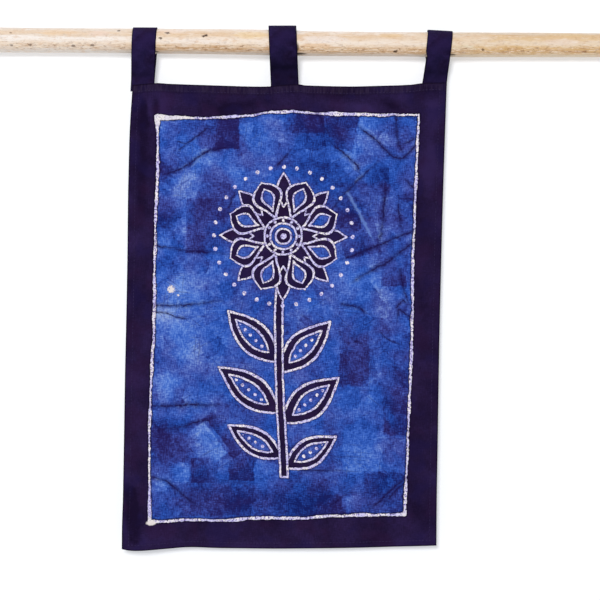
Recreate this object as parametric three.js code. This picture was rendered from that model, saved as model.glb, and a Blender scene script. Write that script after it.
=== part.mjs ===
// A hemmed cotton panel that hangs by three cloth tabs from a peeled wooden rod.
// Millimetres, +Z up, the panel's front towards -Y.
// The origin is on the rod's axis, midway between the outer tabs.
import * as THREE from 'three';

// Driving dimensions
const pieceGap = 0.35;
const rodHalfLength = 392;
const rodSides = 24;
const rodStep = 28;
const clothThickness = 1.2;
const hemExtra = 1.0; // the folded layers at the back of a hem
const hemWidth = 10;
const hemTrough = 0.5; // how deep the stitch line pulls the front in
const hemTroughWidth = 3;
const tabThickness = 1.0;
const tabColumns = 5;
const tailLength = 10; // how far a tab's ends reach down behind the top hem
const throatRise = 2.5; // the tab's legs meet this far above the panel
const legDrop = 16; // a leg starts straight down, and its curve holds that for about this far
const tailLead = 11; // and it comes in straight above its tail for about this far
const crestSteps = 18;
const legSteps = 8;
const tailSteps = 3;
const headingStill = 11; // the top hem stays flat down to here below its edge
const foldsFull = 28; // and the folds have their full depth from here down

// The rod is a natural pole: its middle line and its thickness wander.
const rodStations = [
  { x: -392, y: 0.3, z: 1.6, radius: 15.4 },
  { x: -290, y: 0.9, z: 1.7, radius: 15.0 },
  { x: -205, y: 0.7, z: 1.8, radius: 15.1 },
  { x: -150, y: 0.2, z: 1.7, radius: 15.3 },
  { x: -50, y: -0.5, z: 1.3, radius: 15.6 },
  { x: 0, y: -0.8, z: 0.4, radius: 15.5 },
  { x: 45, y: -0.6, z: 0.1, radius: 15.2 },
  { x: 130, y: 0.0, z: 0.2, radius: 15.1 },
  { x: 190, y: 0.4, z: 0.2, radius: 15.3 },
  { x: 285, y: 0.6, z: 0.9, radius: 15.1 },
  { x: 392, y: 0.1, z: 1.2, radius: 14.6 },
];

// Flats and swellings round the pole: how many to a turn, how much of the radius, how they twist.
const rodFlutes = [
  { count: 2, share: 0.012, start: 0.6, turnPerMm: 0.004 },
  { count: 3, share: 0.008, start: 2.1, turnPerMm: -0.007 },
  { count: 5, share: 0.004, start: 4.0, turnPerMm: 0.011 },
];
const fluteReach = rodFlutes.reduce((sum, flute) => sum + flute.share, 0);

// The panel's outline, point by point along each edge as it hangs.
const topEdge = [
  { x: -194, z: -51.9 },
  { x: -163, z: -49.2 },
  { x: -147, z: -50.0 },
  { x: -86, z: -51.6 },
  { x: -50, z: -52.4 },
  { x: -28, z: -52.2 },
  { x: -10, z: -50.4 },
  { x: 9, z: -49.3 },
  { x: 17, z: -50.5 },
  { x: 71, z: -51.4 },
  { x: 108, z: -50.3 },
  { x: 144, z: -48.8 },
  { x: 161, z: -46.6 },
  { x: 188, z: -45.8 },
];
const bottomEdge = [
  { x: -201, z: -615.5 },
  { x: -192, z: -617.0 },
  { x: -181, z: -617.2 },
  { x: -149, z: -615.0 },
  { x: -119, z: -612.7 },
  { x: -82, z: -613.7 },
  { x: -33, z: -614.0 },
  { x: 15, z: -613.4 },
  { x: 64, z: -612.5 },
  { x: 112, z: -611.1 },
  { x: 180, z: -608.3 },
];
const leftEdge = [
  { z: -46, x: -193.0 },
  { z: -60, x: -193.2 },
  { z: -90, x: -195.0 },
  { z: -119, x: -196.1 },
  { z: -192, x: -197.2 },
  { z: -264, x: -197.4 },
  { z: -337, x: -198.2 },
  { z: -410, x: -199.2 },
  { z: -483, x: -199.8 },
  { z: -556, x: -200.5 },
  { z: -617, x: -201.1 },
];
const rightEdge = [
  { z: -46, x: 189.2 },
  { z: -67, x: 188.6 },
  { z: -116, x: 187.3 },
  { z: -189, x: 185.5 },
  { z: -262, x: 184.1 },
  { z: -334, x: 182.9 },
  { z: -407, x: 182.1 },
  { z: -480, x: 181.5 },
  { z: -553, x: 180.8 },
  { z: -617, x: 180.8 },
];

// Soft folds in the panel, each along a line from one point to another.
// A positive depth is a trough that goes back, a negative one a ridge that comes forward.
const panelFolds = [
  { x0: -120, z0: -110, x1: -135, z1: -560, halfWidth: 46, depth: -3.4 },
  { x0: -30, z0: -90, x1: -50, z1: -600, halfWidth: 34, depth: 2.4 },
  { x0: 62, z0: -140, x1: 48, z1: -540, halfWidth: 40, depth: -2.8 },
  { x0: 128, z0: -75, x1: 120, z1: -590, halfWidth: 30, depth: 2.2 },
  { x0: 150, z0: -440, x1: 172, z1: -600, halfWidth: 26, depth: -2.6 },
  { x0: -24, z0: -62, x1: -84, z1: -83, halfWidth: 7, depth: 1.8 },
  { x0: -52, z0: -88, x1: -116, z1: -104, halfWidth: 11, depth: -1.6 },
  { x0: 30, z0: -66, x1: 96, z1: -80, halfWidth: 9, depth: -1.2 },
  { x0: 112, z0: -64, x1: 126, z1: -74, halfWidth: 7, depth: 1.2 },
  { x0: -179.5, z0: -62, x1: -178, z1: -100, halfWidth: 3.4, depth: 1.3 },
  { x0: -172, z0: -62, x1: -171, z1: -88, halfWidth: 3.0, depth: -1.0 },
  { x0: -164, z0: -62, x1: -163, z1: -86, halfWidth: 3.0, depth: 1.2 },
  { x0: -154, z0: -62, x1: -156, z1: -88, halfWidth: 4.0, depth: -0.9 },
  { x0: -178.5, z0: -100, x1: -181, z1: -200, halfWidth: 7, depth: 1.3 },
  { x0: 172, z0: -62, x1: 168, z1: -180, halfWidth: 9, depth: -1.2 },
  { x0: -191, z0: -545, x1: -185, z1: -603, halfWidth: 6, depth: 2.6 },
  { x0: -198, z0: -590, x1: -176, z1: -616, halfWidth: 24, depth: -6.5 },
];

// Grid of the panel: distances from its left edge and from its top edge, and the step up to each.
const panelWidth = 383;
const panelDrop = 564;
const columnSpans = [
  { to: hemWidth, step: 5 },
  { to: 46, step: 4.5 },
  { to: panelWidth - hemWidth, step: 14 },
  { to: panelWidth, step: 5 },
];
const rowSpans = [
  { to: hemWidth, step: 5 },
  { to: 58, step: 8 },
  { to: 506, step: 17 },
  { to: panelDrop - hemWidth, step: 8 },
  { to: panelDrop, step: 5 },
];

// The tabs: their middle and width at the rod, their width at the panel, how many degrees they lean
// from plumb, and how far their left and right edges stand off the rod's crest.
const tabTable = [
  { name: 'tab_left', x: -178.4, width: 29.3, foot: 28.7, lean: 2.5, slackLeft: 0, slackRight: 0.1 },
  { name: 'tab_centre', x: -10.2, width: 33.8, foot: 34.0, lean: -2.75, slackLeft: 4.2, slackRight: 4.5 },
  { name: 'tab_right', x: 178.7, width: 30.4, foot: 30.0, lean: 5.5, slackLeft: 1.5, slackRight: 0 },
];
const footZ = -48; // the height at which the foot width is measured

const batikCotton = { color: 0x24306f, roughness: 0.9, metalness: 0 };
const navyCotton = { color: 0x251c3e, roughness: 0.9, metalness: 0 };
const peeledWood = { color: 0xe2ccb0, roughness: 0.65, metalness: 0 };

// A smooth curve through a table's rows: the value column read at a place in the key column.
function readTable(rows, key, value) {
  const ordered = [...rows].sort((a, b) => a[key] - b[key]);
  const last = ordered.length - 1;
  const slopeAt = (i) => {
    const before = ordered[Math.max(i - 1, 0)];
    const after = ordered[Math.min(i + 1, last)];
    return (after[value] - before[value]) / (after[key] - before[key]);
  };
  return (place) => {
    const inside = THREE.MathUtils.clamp(place, ordered[0][key], ordered[last][key]);
    let i = 0;
    while (i < last - 1 && ordered[i + 1][key] < inside) {
      i += 1;
    }
    const span = ordered[i + 1][key] - ordered[i][key];
    const t = (inside - ordered[i][key]) / span;
    const rise = t * t * (3 - 2 * t);
    const leave = t * (1 - t) * (1 - t) * span * slopeAt(i);
    const arrive = t * t * (t - 1) * span * slopeAt(i + 1);
    return ordered[i][value] * (1 - rise) + ordered[i + 1][value] * rise + leave + arrive;
  };
}

const rodY = readTable(rodStations, 'x', 'y');
const rodZ = readTable(rodStations, 'x', 'z');
const rodRadius = readTable(rodStations, 'x', 'radius');
const topZ = readTable(topEdge, 'x', 'z');
const bottomZ = readTable(bottomEdge, 'x', 'z');
const leftX = readTable(leftEdge, 'z', 'x');
const rightX = readTable(rightEdge, 'z', 'x');

function distanceToLine(x, z, fold) {
  const alongX = fold.x1 - fold.x0;
  const alongZ = fold.z1 - fold.z0;
  const share = ((x - fold.x0) * alongX + (z - fold.z0) * alongZ) / (alongX * alongX + alongZ * alongZ);
  const held = THREE.MathUtils.clamp(share, 0, 1);
  return Math.hypot(x - fold.x0 - alongX * held, z - fold.z0 - alongZ * held);
}

// How far the middle of the cloth lies behind the plane of its top edge.
function foldDepth(x, z, belowTop) {
  let depth = 0;
  for (const fold of panelFolds) {
    const reach = distanceToLine(x, z, fold) / fold.halfWidth;
    depth += fold.depth * Math.exp(-reach * reach);
  }
  return depth * THREE.MathUtils.smoothstep(belowTop, headingStill, foldsFull);
}

// Places along one direction of the panel as shares of its whole length.
function gridShares(spans, whole) {
  const shares = [0];
  let from = 0;
  for (const span of spans) {
    const count = Math.max(1, Math.round((span.to - from) / span.step));
    for (let i = 1; i <= count; i += 1) {
      shares.push((from + ((span.to - from) * i) / count) / whole);
    }
    from = span.to;
  }
  return shares;
}

function geometryFrom(points, faces) {
  const geometry = new THREE.BufferGeometry();
  geometry.setAttribute('position', new THREE.Float32BufferAttribute(points.flat(), 3));
  geometry.setIndex(faces.flat());
  geometry.computeVertexNormals();
  return geometry;
}

// A closed sheet: a grid of points on its front, one on its back, and a rim that joins their edges.
// frontAt and backAt give the point at a row and a column.
// Seen from the front, rows run downwards and columns to the right.
function sheetGeometry(rowCount, columnCount, frontAt, backAt) {
  const points = [];
  const faces = [];
  for (const pointAt of [frontAt, backAt]) {
    for (let row = 0; row < rowCount; row += 1) {
      for (let column = 0; column < columnCount; column += 1) {
        points.push(pointAt(row, column));
      }
    }
  }
  const front = (row, column) => row * columnCount + column;
  const back = (row, column) => rowCount * columnCount + front(row, column);
  const addQuad = (a, b, c, d) => faces.push([a, b, c], [a, c, d]);
  const bottom = rowCount - 1;
  const right = columnCount - 1;
  for (let row = 0; row < bottom; row += 1) {
    const below = row + 1;
    for (let column = 0; column < right; column += 1) {
      const next = column + 1;
      addQuad(front(row, column), front(below, column), front(below, next), front(row, next));
      addQuad(back(row, column), back(row, next), back(below, next), back(below, column));
    }
    addQuad(front(row, 0), back(row, 0), back(below, 0), front(below, 0));
    addQuad(front(row, right), front(below, right), back(below, right), back(row, right));
  }
  for (let column = 0; column < right; column += 1) {
    const next = column + 1;
    addQuad(front(0, column), front(0, next), back(0, next), back(0, column));
    addQuad(front(bottom, column), back(bottom, column), back(bottom, next), front(bottom, next));
  }
  return geometryFrom(points, faces);
}

function panelGeometry() {
  const columns = gridShares(columnSpans, panelWidth);
  const rows = gridShares(rowSpans, panelDrop);
  const middleAt = (row, column) => {
    const across = columns[column];
    const down = rows[row];
    const guessX = THREE.MathUtils.lerp(leftX(topEdge[0].z), rightX(topEdge[0].z), across);
    const guessZ = THREE.MathUtils.lerp(topZ(guessX), bottomZ(guessX), down);
    const x = THREE.MathUtils.lerp(leftX(guessZ), rightX(guessZ), across);
    const z = THREE.MathUtils.lerp(topZ(x), bottomZ(x), down);
    const toSide = Math.min(across, 1 - across) * panelWidth;
    const toEnd = Math.min(down, 1 - down) * panelDrop;
    const toEdge = Math.min(toSide, toEnd);
    const stitch = (toEdge - hemWidth) / hemTroughWidth;
    const y = foldDepth(x, z, down * panelDrop);
    const trough = hemTrough * Math.exp(-stitch * stitch);
    const hemLayers = toEdge <= hemWidth ? hemExtra : 0;
    return { x, y, z, trough, hemLayers };
  };
  const frontAt = (row, column) => {
    const middle = middleAt(row, column);
    return [middle.x, middle.y - clothThickness / 2 + middle.trough, middle.z];
  };
  const backAt = (row, column) => {
    const middle = middleAt(row, column);
    return [middle.x, middle.y + clothThickness / 2 + middle.hemLayers, middle.z];
  };
  return sheetGeometry(rows.length, columns.length, frontAt, backAt);
}

// One tab's run in the YZ plane at one line across its width: up from behind the top hem,
// over the rod and down again, with the thickness to each side of it.
function tabRun(tab, acrossShare) {
  const radius = rodRadius(tab.x) * (1 + fluteReach);
  const axisY = rodY(tab.x);
  const axisZ = rodZ(tab.x);
  const reachY = radius + pieceGap + tabThickness / 2;
  const reachZ = reachY + THREE.MathUtils.lerp(tab.slackLeft, tab.slackRight, acrossShare);
  const halfFoot = tab.foot / 2;
  const footX = tab.x + Math.tan(THREE.MathUtils.degToRad(tab.lean)) * footZ;
  const throatZ = Math.max(topZ(footX - halfFoot), topZ(footX), topZ(footX + halfFoot)) + throatRise;
  const hemBack = clothThickness / 2 + hemExtra;
  const frontTailY = hemBack + pieceGap + tabThickness / 2;
  const backTailY = frontTailY + tabThickness + pieceGap;
  const legCurve = (startY, endY) => new THREE.CubicBezierCurve(
    new THREE.Vector2(startY, axisZ),
    new THREE.Vector2(startY, axisZ - legDrop),
    new THREE.Vector2(endY, throatZ + tailLead),
    new THREE.Vector2(endY, throatZ),
  );
  const run = [];
  const tailDrop = throatRise + tailLength;
  for (let i = 0; i < tailSteps; i += 1) {
    run.push(new THREE.Vector2(frontTailY, throatZ - tailDrop * (1 - i / tailSteps)));
  }
  const frontLeg = legCurve(axisY - reachY, frontTailY).getPoints(legSteps).reverse();
  run.push(...frontLeg.slice(0, -1));
  for (let i = 0; i <= crestSteps; i += 1) {
    const turn = (Math.PI * i) / crestSteps;
    run.push(new THREE.Vector2(axisY - reachY * Math.cos(turn), axisZ + reachZ * Math.sin(turn)));
  }
  const backLeg = legCurve(axisY + reachY, backTailY).getPoints(legSteps);
  run.push(...backLeg.slice(1));
  for (let i = 1; i <= tailSteps; i += 1) {
    run.push(new THREE.Vector2(backTailY, throatZ - (tailDrop * i) / tailSteps));
  }
  return run;
}

function tabGeometry(tab) {
  const leanSlope = Math.tan(THREE.MathUtils.degToRad(tab.lean));
  const runs = [];
  for (let column = 0; column < tabColumns; column += 1) {
    runs.push(tabRun(tab, column / (tabColumns - 1)));
  }
  const rowCount = runs[0].length;
  const pointAt = (row, column, side) => {
    const run = runs[column];
    const here = run[row];
    const before = run[Math.max(row - 1, 0)];
    const after = run[Math.min(row + 1, rowCount - 1)];
    const along = after.clone().sub(before).normalize();
    const y = here.x - (along.y * side * tabThickness) / 2;
    const z = here.y + (along.x * side * tabThickness) / 2;
    const toFoot = THREE.MathUtils.clamp(here.y / footZ, 0, 1);
    const width = THREE.MathUtils.lerp(tab.width, tab.foot, toFoot);
    const acrossShare = column / (tabColumns - 1) - 0.5;
    return [tab.x + leanSlope * here.y + width * acrossShare, y, z];
  };
  const outerAt = (row, column) => pointAt(rowCount - 1 - row, column, 1);
  const innerAt = (row, column) => pointAt(rowCount - 1 - row, column, -1);
  return sheetGeometry(rowCount, tabColumns, outerAt, innerAt);
}

function rodGeometry() {
  const ringCount = Math.round((2 * rodHalfLength) / rodStep) + 1;
  const points = [];
  const faces = [];
  for (let ring = 0; ring < ringCount; ring += 1) {
    const x = -rodHalfLength + (2 * rodHalfLength * ring) / (ringCount - 1);
    for (let side = 0; side < rodSides; side += 1) {
      const angle = (2 * Math.PI * side) / rodSides;
      let share = 1;
      for (const flute of rodFlutes) {
        share += flute.share * Math.sin(flute.count * angle + flute.start + flute.turnPerMm * x);
      }
      const radius = rodRadius(x) * share;
      points.push([x, rodY(x) + radius * Math.cos(angle), rodZ(x) + radius * Math.sin(angle)]);
    }
  }
  const at = (ring, side) => ring * rodSides + (side % rodSides);
  for (let ring = 0; ring < ringCount - 1; ring += 1) {
    for (let side = 0; side < rodSides; side += 1) {
      faces.push([at(ring, side), at(ring, side + 1), at(ring + 1, side + 1)]);
      faces.push([at(ring, side), at(ring + 1, side + 1), at(ring + 1, side)]);
    }
  }
  const lastRing = ringCount - 1;
  for (let side = 1; side < rodSides - 1; side += 1) {
    faces.push([at(0, 0), at(0, side + 1), at(0, side)]);
    faces.push([at(lastRing, 0), at(lastRing, side), at(lastRing, side + 1)]);
  }
  return geometryFrom(points, faces);
}

function namedMesh(name, geometry, finish) {
  const mesh = new THREE.Mesh(geometry, new THREE.MeshStandardMaterial(finish));
  mesh.name = name;
  return mesh;
}

const wallHanging = new THREE.Group();
wallHanging.add(namedMesh('panel', panelGeometry(), batikCotton));
for (const tab of tabTable) {
  wallHanging.add(namedMesh(tab.name, tabGeometry(tab), navyCotton));
}
wallHanging.add(namedMesh('rod', rodGeometry(), peeledWood));

export default wallHanging;
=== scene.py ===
import math
from functools import partialmethod

import bpy
import numpy as np
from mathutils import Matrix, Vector, noise


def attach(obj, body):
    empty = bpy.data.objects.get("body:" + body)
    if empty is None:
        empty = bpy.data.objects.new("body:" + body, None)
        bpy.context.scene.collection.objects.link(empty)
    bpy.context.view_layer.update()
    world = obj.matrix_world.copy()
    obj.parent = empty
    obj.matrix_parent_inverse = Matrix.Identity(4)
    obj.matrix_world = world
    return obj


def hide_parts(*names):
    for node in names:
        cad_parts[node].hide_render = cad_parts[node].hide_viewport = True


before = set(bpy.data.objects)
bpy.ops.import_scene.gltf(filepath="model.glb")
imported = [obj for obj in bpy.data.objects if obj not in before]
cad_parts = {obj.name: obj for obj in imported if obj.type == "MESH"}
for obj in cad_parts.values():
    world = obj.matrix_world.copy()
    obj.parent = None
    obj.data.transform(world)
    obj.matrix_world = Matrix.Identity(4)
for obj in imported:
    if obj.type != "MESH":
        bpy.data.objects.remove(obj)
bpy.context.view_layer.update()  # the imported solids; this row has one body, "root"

mm = 0.001  # the tables are in millimetres, Blender's lengths in metres


def rowsOf(columns, *rows):
    names = columns.split()
    return [dict(zip(names, row)) for row in rows]


# Where the photograph's pixels lie on the plane of the cloth
photoView = {
    "size": 600,  # pixels each way
    "scale": 1.215,  # millimetres to a pixel
    "centreX": 12.8,
    "centreZ": -311.4,
    "roll": 0.45,  # degrees
    "distance": 2500,
    "sensor": 36,
    "farthest": 50,  # metres
}


def onCloth(pixelX, pixelY):
    right = (pixelX - photoView["size"] / 2) * photoView["scale"]
    up = (photoView["size"] / 2 - pixelY) * photoView["scale"]
    roll = math.radians(photoView["roll"])
    x = photoView["centreX"] + right * math.cos(roll) - up * math.sin(roll)
    z = photoView["centreZ"] + right * math.sin(roll) + up * math.cos(roll)
    return x, z


# The outline and the folds, as the solids have them
topEdge = rowsOf(
    "x z",
    (-194, -51.9), (-163, -49.2), (-147, -50.0), (-86, -51.6), (-50, -52.4), (-28, -52.2), (-10, -50.4),
    (9, -49.3), (17, -50.5), (71, -51.4), (108, -50.3), (144, -48.8), (161, -46.6), (188, -45.8),
)
bottomEdge = rowsOf(
    "x z",
    (-201, -615.5), (-192, -617.0), (-181, -617.2), (-149, -615.0), (-119, -612.7), (-82, -613.7),
    (-33, -614.0), (15, -613.4), (64, -612.5), (112, -611.1), (180, -608.3),
)
leftEdge = rowsOf(
    "z x",
    (-46, -193.0), (-60, -193.2), (-90, -195.0), (-119, -196.1), (-192, -197.2), (-264, -197.4),
    (-337, -198.2), (-410, -199.2), (-483, -199.8), (-556, -200.5), (-617, -201.1),
)
rightEdge = rowsOf(
    "z x",
    (-46, 189.2), (-67, 188.6), (-116, 187.3), (-189, 185.5), (-262, 184.1), (-334, 182.9),
    (-407, 182.1), (-480, 181.5), (-553, 180.8), (-617, 180.8),
)
panelFolds = rowsOf(  # a positive depth is a trough that goes back
    "x0 z0 x1 z1 halfWidth depth",
    (-120, -110, -135, -560, 46, -3.4),
    (-30, -90, -50, -600, 34, 2.4),
    (62, -140, 48, -540, 40, -2.8),
    (128, -75, 120, -590, 30, 2.2),
    (150, -440, 172, -600, 26, -2.6),
    (-24, -62, -84, -83, 7, 1.8),
    (-52, -88, -116, -104, 11, -1.6),
    (30, -66, 96, -80, 9, -1.2),
    (112, -64, 126, -74, 7, 1.2),
    (-179.5, -62, -178, -100, 3.4, 1.3),
    (-172, -62, -171, -88, 3.0, -1.0),
    (-164, -62, -163, -86, 3.0, 1.2),
    (-154, -62, -156, -88, 4.0, -0.9),
    (-178.5, -100, -181, -200, 7, 1.3),
    (172, -62, 168, -180, 9, -1.2),
    (-191, -545, -185, -603, 6, 2.6),
    (-198, -590, -176, -616, 24, -6.5),
)
rodStations = rowsOf(
    "x y z radius",
    (-392, 0.3, 1.6, 15.4), (-290, 0.9, 1.7, 15.0), (-205, 0.7, 1.8, 15.1), (-150, 0.2, 1.7, 15.3),
    (-50, -0.5, 1.3, 15.6), (0, -0.8, 0.4, 15.5), (45, -0.6, 0.1, 15.2), (130, 0.0, 0.2, 15.1),
    (190, 0.4, 0.2, 15.3), (285, 0.6, 0.9, 15.1), (392, 0.1, 1.2, 14.6),
)
rodFlutes = rowsOf(
    "count share start turnPerMm",
    (2, 0.012, 0.6, 0.004),
    (3, 0.008, 2.1, -0.007),
    (5, 0.004, 4.0, 0.011),
)
tabTable = rowsOf(
    "name x width foot lean slackLeft slackRight pinch deepCrest deepFoot creaseZ creaseDeep",
    ("tab_left", -178.4, 29.3, 28.7, 2.5, 0, 0.1, 0, 0.0, 0.2, -39, 0.3),
    ("tab_centre", -10.2, 33.8, 34.0, -2.75, 4.2, 4.5, 0, 0.12, 0.54, -29, 0.25),
    ("tab_right", 178.7, 30.4, 30.0, 5.5, 1.5, 0, 2.2, 0.1, 0.34, -33, 0.2),
)


def smoothRead(rows, key, value):  # a smooth curve through two columns of a table
    ordered = sorted(rows, key=lambda row: row[key])
    places = np.array([row[key] for row in ordered], float)
    heights = np.array([row[value] for row in ordered], float)
    before = np.maximum(np.arange(len(places)) - 1, 0)
    after = np.minimum(np.arange(len(places)) + 1, len(places) - 1)
    slopes = (heights[after] - heights[before]) / (places[after] - places[before])

    def read(place):
        inside = np.clip(place, places[0], places[-1])
        i = np.clip(np.searchsorted(places, inside) - 1, 0, len(places) - 2)
        span = places[i + 1] - places[i]
        t = (inside - places[i]) / span
        rise = t * t * (3 - 2 * t)
        leave = t * (1 - t) ** 2 * span * slopes[i]
        arrive = t * t * (t - 1) * span * slopes[i + 1]
        return heights[i] * (1 - rise) + heights[i + 1] * rise + leave + arrive

    return read


topZ = smoothRead(topEdge, "x", "z")
bottomZ = smoothRead(bottomEdge, "x", "z")
leftX = smoothRead(leftEdge, "z", "x")
rightX = smoothRead(rightEdge, "z", "x")
rodY = smoothRead(rodStations, "x", "y")
rodZ = smoothRead(rodStations, "x", "z")
rodRadius = smoothRead(rodStations, "x", "radius")


def smoothStep(value, low, high):
    t = np.clip((value - low) / (high - low), 0, 1)
    return t * t * (3 - 2 * t)


def softNoise(size, *axes):  # Blender's own noise over arrays of places, from -1 to 1
    spread = np.broadcast_arrays(*axes, 0.0)[:3]
    flat = np.stack([axis.ravel() for axis in spread], axis=1) / size
    values = [noise.noise(Vector(place)) for place in flat]
    return np.array(values).reshape(spread[0].shape)


# A short way to write nodes: each call adds one and gives its output.
# A value that is a socket is linked, any other is set on the input.
class Wiring:
    def __init__(self, tree):
        self.tree = tree

    def feed(self, socket, value):
        if isinstance(value, bpy.types.NodeSocket):
            self.tree.links.new(value, socket)
        elif value is not None:
            socket.default_value = value

    def node(self, kind, **settings):
        made = self.tree.nodes.new(kind)
        for name, value in settings.items():
            setattr(made, name, value)
        return made

    def filled(self, kind, values, **settings):  # a node with its first inputs filled in order
        made = self.node(kind, **settings)
        for socket, value in zip(made.inputs, values):
            self.feed(socket, value)
        return made

    def labelled(self, kind, values, **settings):  # a node with inputs filled by their labels
        made = self.node(kind, **settings)
        for label, value in values.items():
            self.feed(made.inputs[label], value)
        return made

    def calc(self, operation, *values):
        return self.filled("ShaderNodeMath", values, operation=operation).outputs[0]

    plus = partialmethod(calc, "ADD")
    minus = partialmethod(calc, "SUBTRACT")
    times = partialmethod(calc, "MULTIPLY")
    timesPlus = partialmethod(calc, "MULTIPLY_ADD")
    least = partialmethod(calc, "MINIMUM")
    most = partialmethod(calc, "MAXIMUM")
    unsigned = partialmethod(calc, "ABSOLUTE")

    def vectorCalc(self, operation, *values):
        return self.filled("ShaderNodeVectorMath", values, operation=operation).outputs[0]

    def measure(self, operation, *vectors):  # a number that is worked out from vectors
        return self.filled("ShaderNodeVectorMath", vectors, operation=operation).outputs["Value"]

    def length(self, vector):
        return self.measure("LENGTH", vector)

    def dot(self, vector, other):
        return self.measure("DOT_PRODUCT", vector, other)

    def scaled(self, vector, share):
        values = {"Vector": vector, "Scale": share}
        return self.labelled("ShaderNodeVectorMath", values, operation="SCALE").outputs[0]

    def join(self, x, y, z=0.0):
        return self.filled("ShaderNodeCombineXYZ", [x, y, z]).outputs[0]

    def split(self, vector):
        return self.filled("ShaderNodeSeparateXYZ", [vector]).outputs

    def step(self, value, low, high, toLow=0.0, toHigh=1.0, kind="SMOOTHSTEP"):
        values = [value, low, high, toLow, toHigh]
        return self.filled("ShaderNodeMapRange", values, interpolation_type=kind).outputs[0]

    def mix(self, share, under, over):
        made = self.node("ShaderNodeMix", data_type="RGBA")
        for index, value in ((0, share), (6, under), (7, over)):  # where that node keeps its colours
            self.feed(made.inputs[index], value)
        return made.outputs[2]

    def ramp(self, value, *stops):  # stops are places and colours
        made = self.filled("ShaderNodeValToRGB", [value])
        marks = made.color_ramp.elements
        while len(marks) < len(stops):
            marks.new(0.5)
        for mark, (place, colour) in zip(marks, stops):
            mark.position = place
            mark.color = colour
        return made.outputs[0]

    def noise(self, vector, size, detail=2.0, rough=0.5, output="Fac", flat=True):
        values = {"Vector": vector, "Scale": 1 / size, "Detail": detail, "Roughness": rough}
        made = self.labelled("ShaderNodeTexNoise", values, noise_dimensions="2D" if flat else "3D")
        return made.outputs[output]

    def stray(self, base, reach, vector, size, detail=2.0, rough=0.5):  # a value that noise moves either way
        either = self.minus(self.noise(vector, size, detail, rough), 0.5)
        return self.timesPlus(either, reach, base)

    def placed(self, vector, place, turn=0.0, reach=(1, 1, 1)):  # turned and scaled about a place
        values = [vector, place, (0, 0, turn), reach]
        return self.filled("ShaderNodeMapping", values, vector_type="TEXTURE").outputs[0]

    def spot(self, vector, place, reach):  # 1 in the middle, fading to 0 at its reach
        local = self.placed(vector, place, 0.0, reach)
        return self.filled("ShaderNodeTexGradient", [local], gradient_type="SPHERICAL").outputs["Fac"]

    def smoothCurve(self, value, rows, key, column):  # two columns of a table as a Float Curve
        keys = [row[key] for row in rows]
        heights = [row[column] for row in rows]
        share = self.step(value, min(keys), max(keys), kind="LINEAR")
        made = self.labelled("ShaderNodeFloatCurve", {"Value": share})
        curve = made.mapping.curves[0]
        while len(curve.points) < len(rows):
            curve.points.new(0.5, 0.5)
        order = sorted(rows, key=lambda row: row[key])
        for point, row in zip(curve.points, order):
            x = (row[key] - min(keys)) / (max(keys) - min(keys))
            y = (row[column] - min(heights)) / (max(heights) - min(heights))
            point.location = (x, y)
        made.mapping.update()
        return self.step(made.outputs[0], 0, 1, min(heights), max(heights), kind="LINEAR")

    def attribute(self, name):
        return self.node("ShaderNodeAttribute", attribute_name=name).outputs["Fac"]

    def objectPlace(self):  # Object coordinates in millimetres
        place = self.node("ShaderNodeTexCoord").outputs["Object"]
        return self.vectorCalc("MULTIPLY", place, (1 / mm, 1 / mm, 1 / mm))

    def group(self, tree, **values):
        return self.labelled("ShaderNodeGroup", values, node_tree=tree).outputs


def nodeGroup(inputs, outputs):  # makes a function a node group; labels and kinds of its sockets
    def build(fill):
        tree = bpy.data.node_groups.new(fill.__name__, "ShaderNodeTree")
        for direction, sockets in (("INPUT", inputs), ("OUTPUT", outputs)):
            for label, kind in sockets.items():
                tree.interface.new_socket(label, in_out=direction, socket_type="NodeSocket" + kind)
        w = Wiring(tree)
        given = w.node("NodeGroupInput").outputs
        end = w.node("NodeGroupOutput").inputs
        for label, value in zip(outputs, fill(w, *[given[label] for label in inputs])):
            w.feed(end[label], value)
        return tree

    return build


def newMaterial(name, specular, roughness=1.0):
    material = bpy.data.materials.new(name)
    material.use_nodes = True
    shader = material.node_tree.nodes["Principled BSDF"]
    shader.inputs["Specular IOR Level"].default_value = specular
    shader.inputs["Roughness"].default_value = roughness
    return material, Wiring(material.node_tree), shader


def addBump(w, shader, height, strength, depth):
    values = {"Strength": strength, "Distance": depth * mm, "Height": height}
    w.feed(shader.inputs["Normal"], w.labelled("ShaderNodeBump", values).outputs["Normal"])


lightLevel = 1.18  # how bright the studio light makes a white cloth
clothSheen = 0.003  # what a matte cloth reflects besides its colour


def dye(red, green, blue):  # a colour as the photograph has it, 0 to 255, under that light
    channels = []
    for channel in (red, green, blue):
        share = channel / 255
        linear = share / 12.92 if share <= 0.04045 else ((share + 0.055) / 1.055) ** 2.4
        channels.append(max(linear - clothSheen, 0) / lightLevel)
    return (*channels, 1.0)


cottonShades = {
    "navyDark": (28, 19, 46),
    "navy": (39, 28, 62),
    "navyLight": (51, 38, 82),
    "navyBlue": (33, 27, 73),
    "navyPlum": (47, 26, 59),
    "wax": (253, 246, 252),  # the cloth that the wax kept undyed
    "waxLilac": (220, 215, 255),
    "waxStain": (140, 124, 196),
    "waxThread": (78, 60, 132),
    "waxCrack": (84, 68, 136),
    "waxBare": (240, 235, 230),
    "waxDrop": (236, 227, 226),
    "pool": (16, 9, 36),  # dye that gathered beside the wax
    "poolFine": (20, 13, 46),
    "crack": (30, 22, 74),
    "strayCrack": (33, 30, 88),
    "paleFold": (118, 152, 226),
    # painted shade and painted light on the top hem's puckers
    "hem": (28, 19, 40),
    "hemPuckerLight": (58, 47, 66),
    "borderShade": (22, 13, 36),
    "seam": (22, 14, 36),
    "panelEdgeShade": (17, 10, 26),
    "back": (120, 122, 160),
    "tabBlue": (38, 33, 78),
    "tabDeep": (10, 4, 20),
    "tabEdge": (14, 8, 24),
    "thread": (44, 35, 70),
    "threadLight": (74, 64, 104),
}
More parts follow.
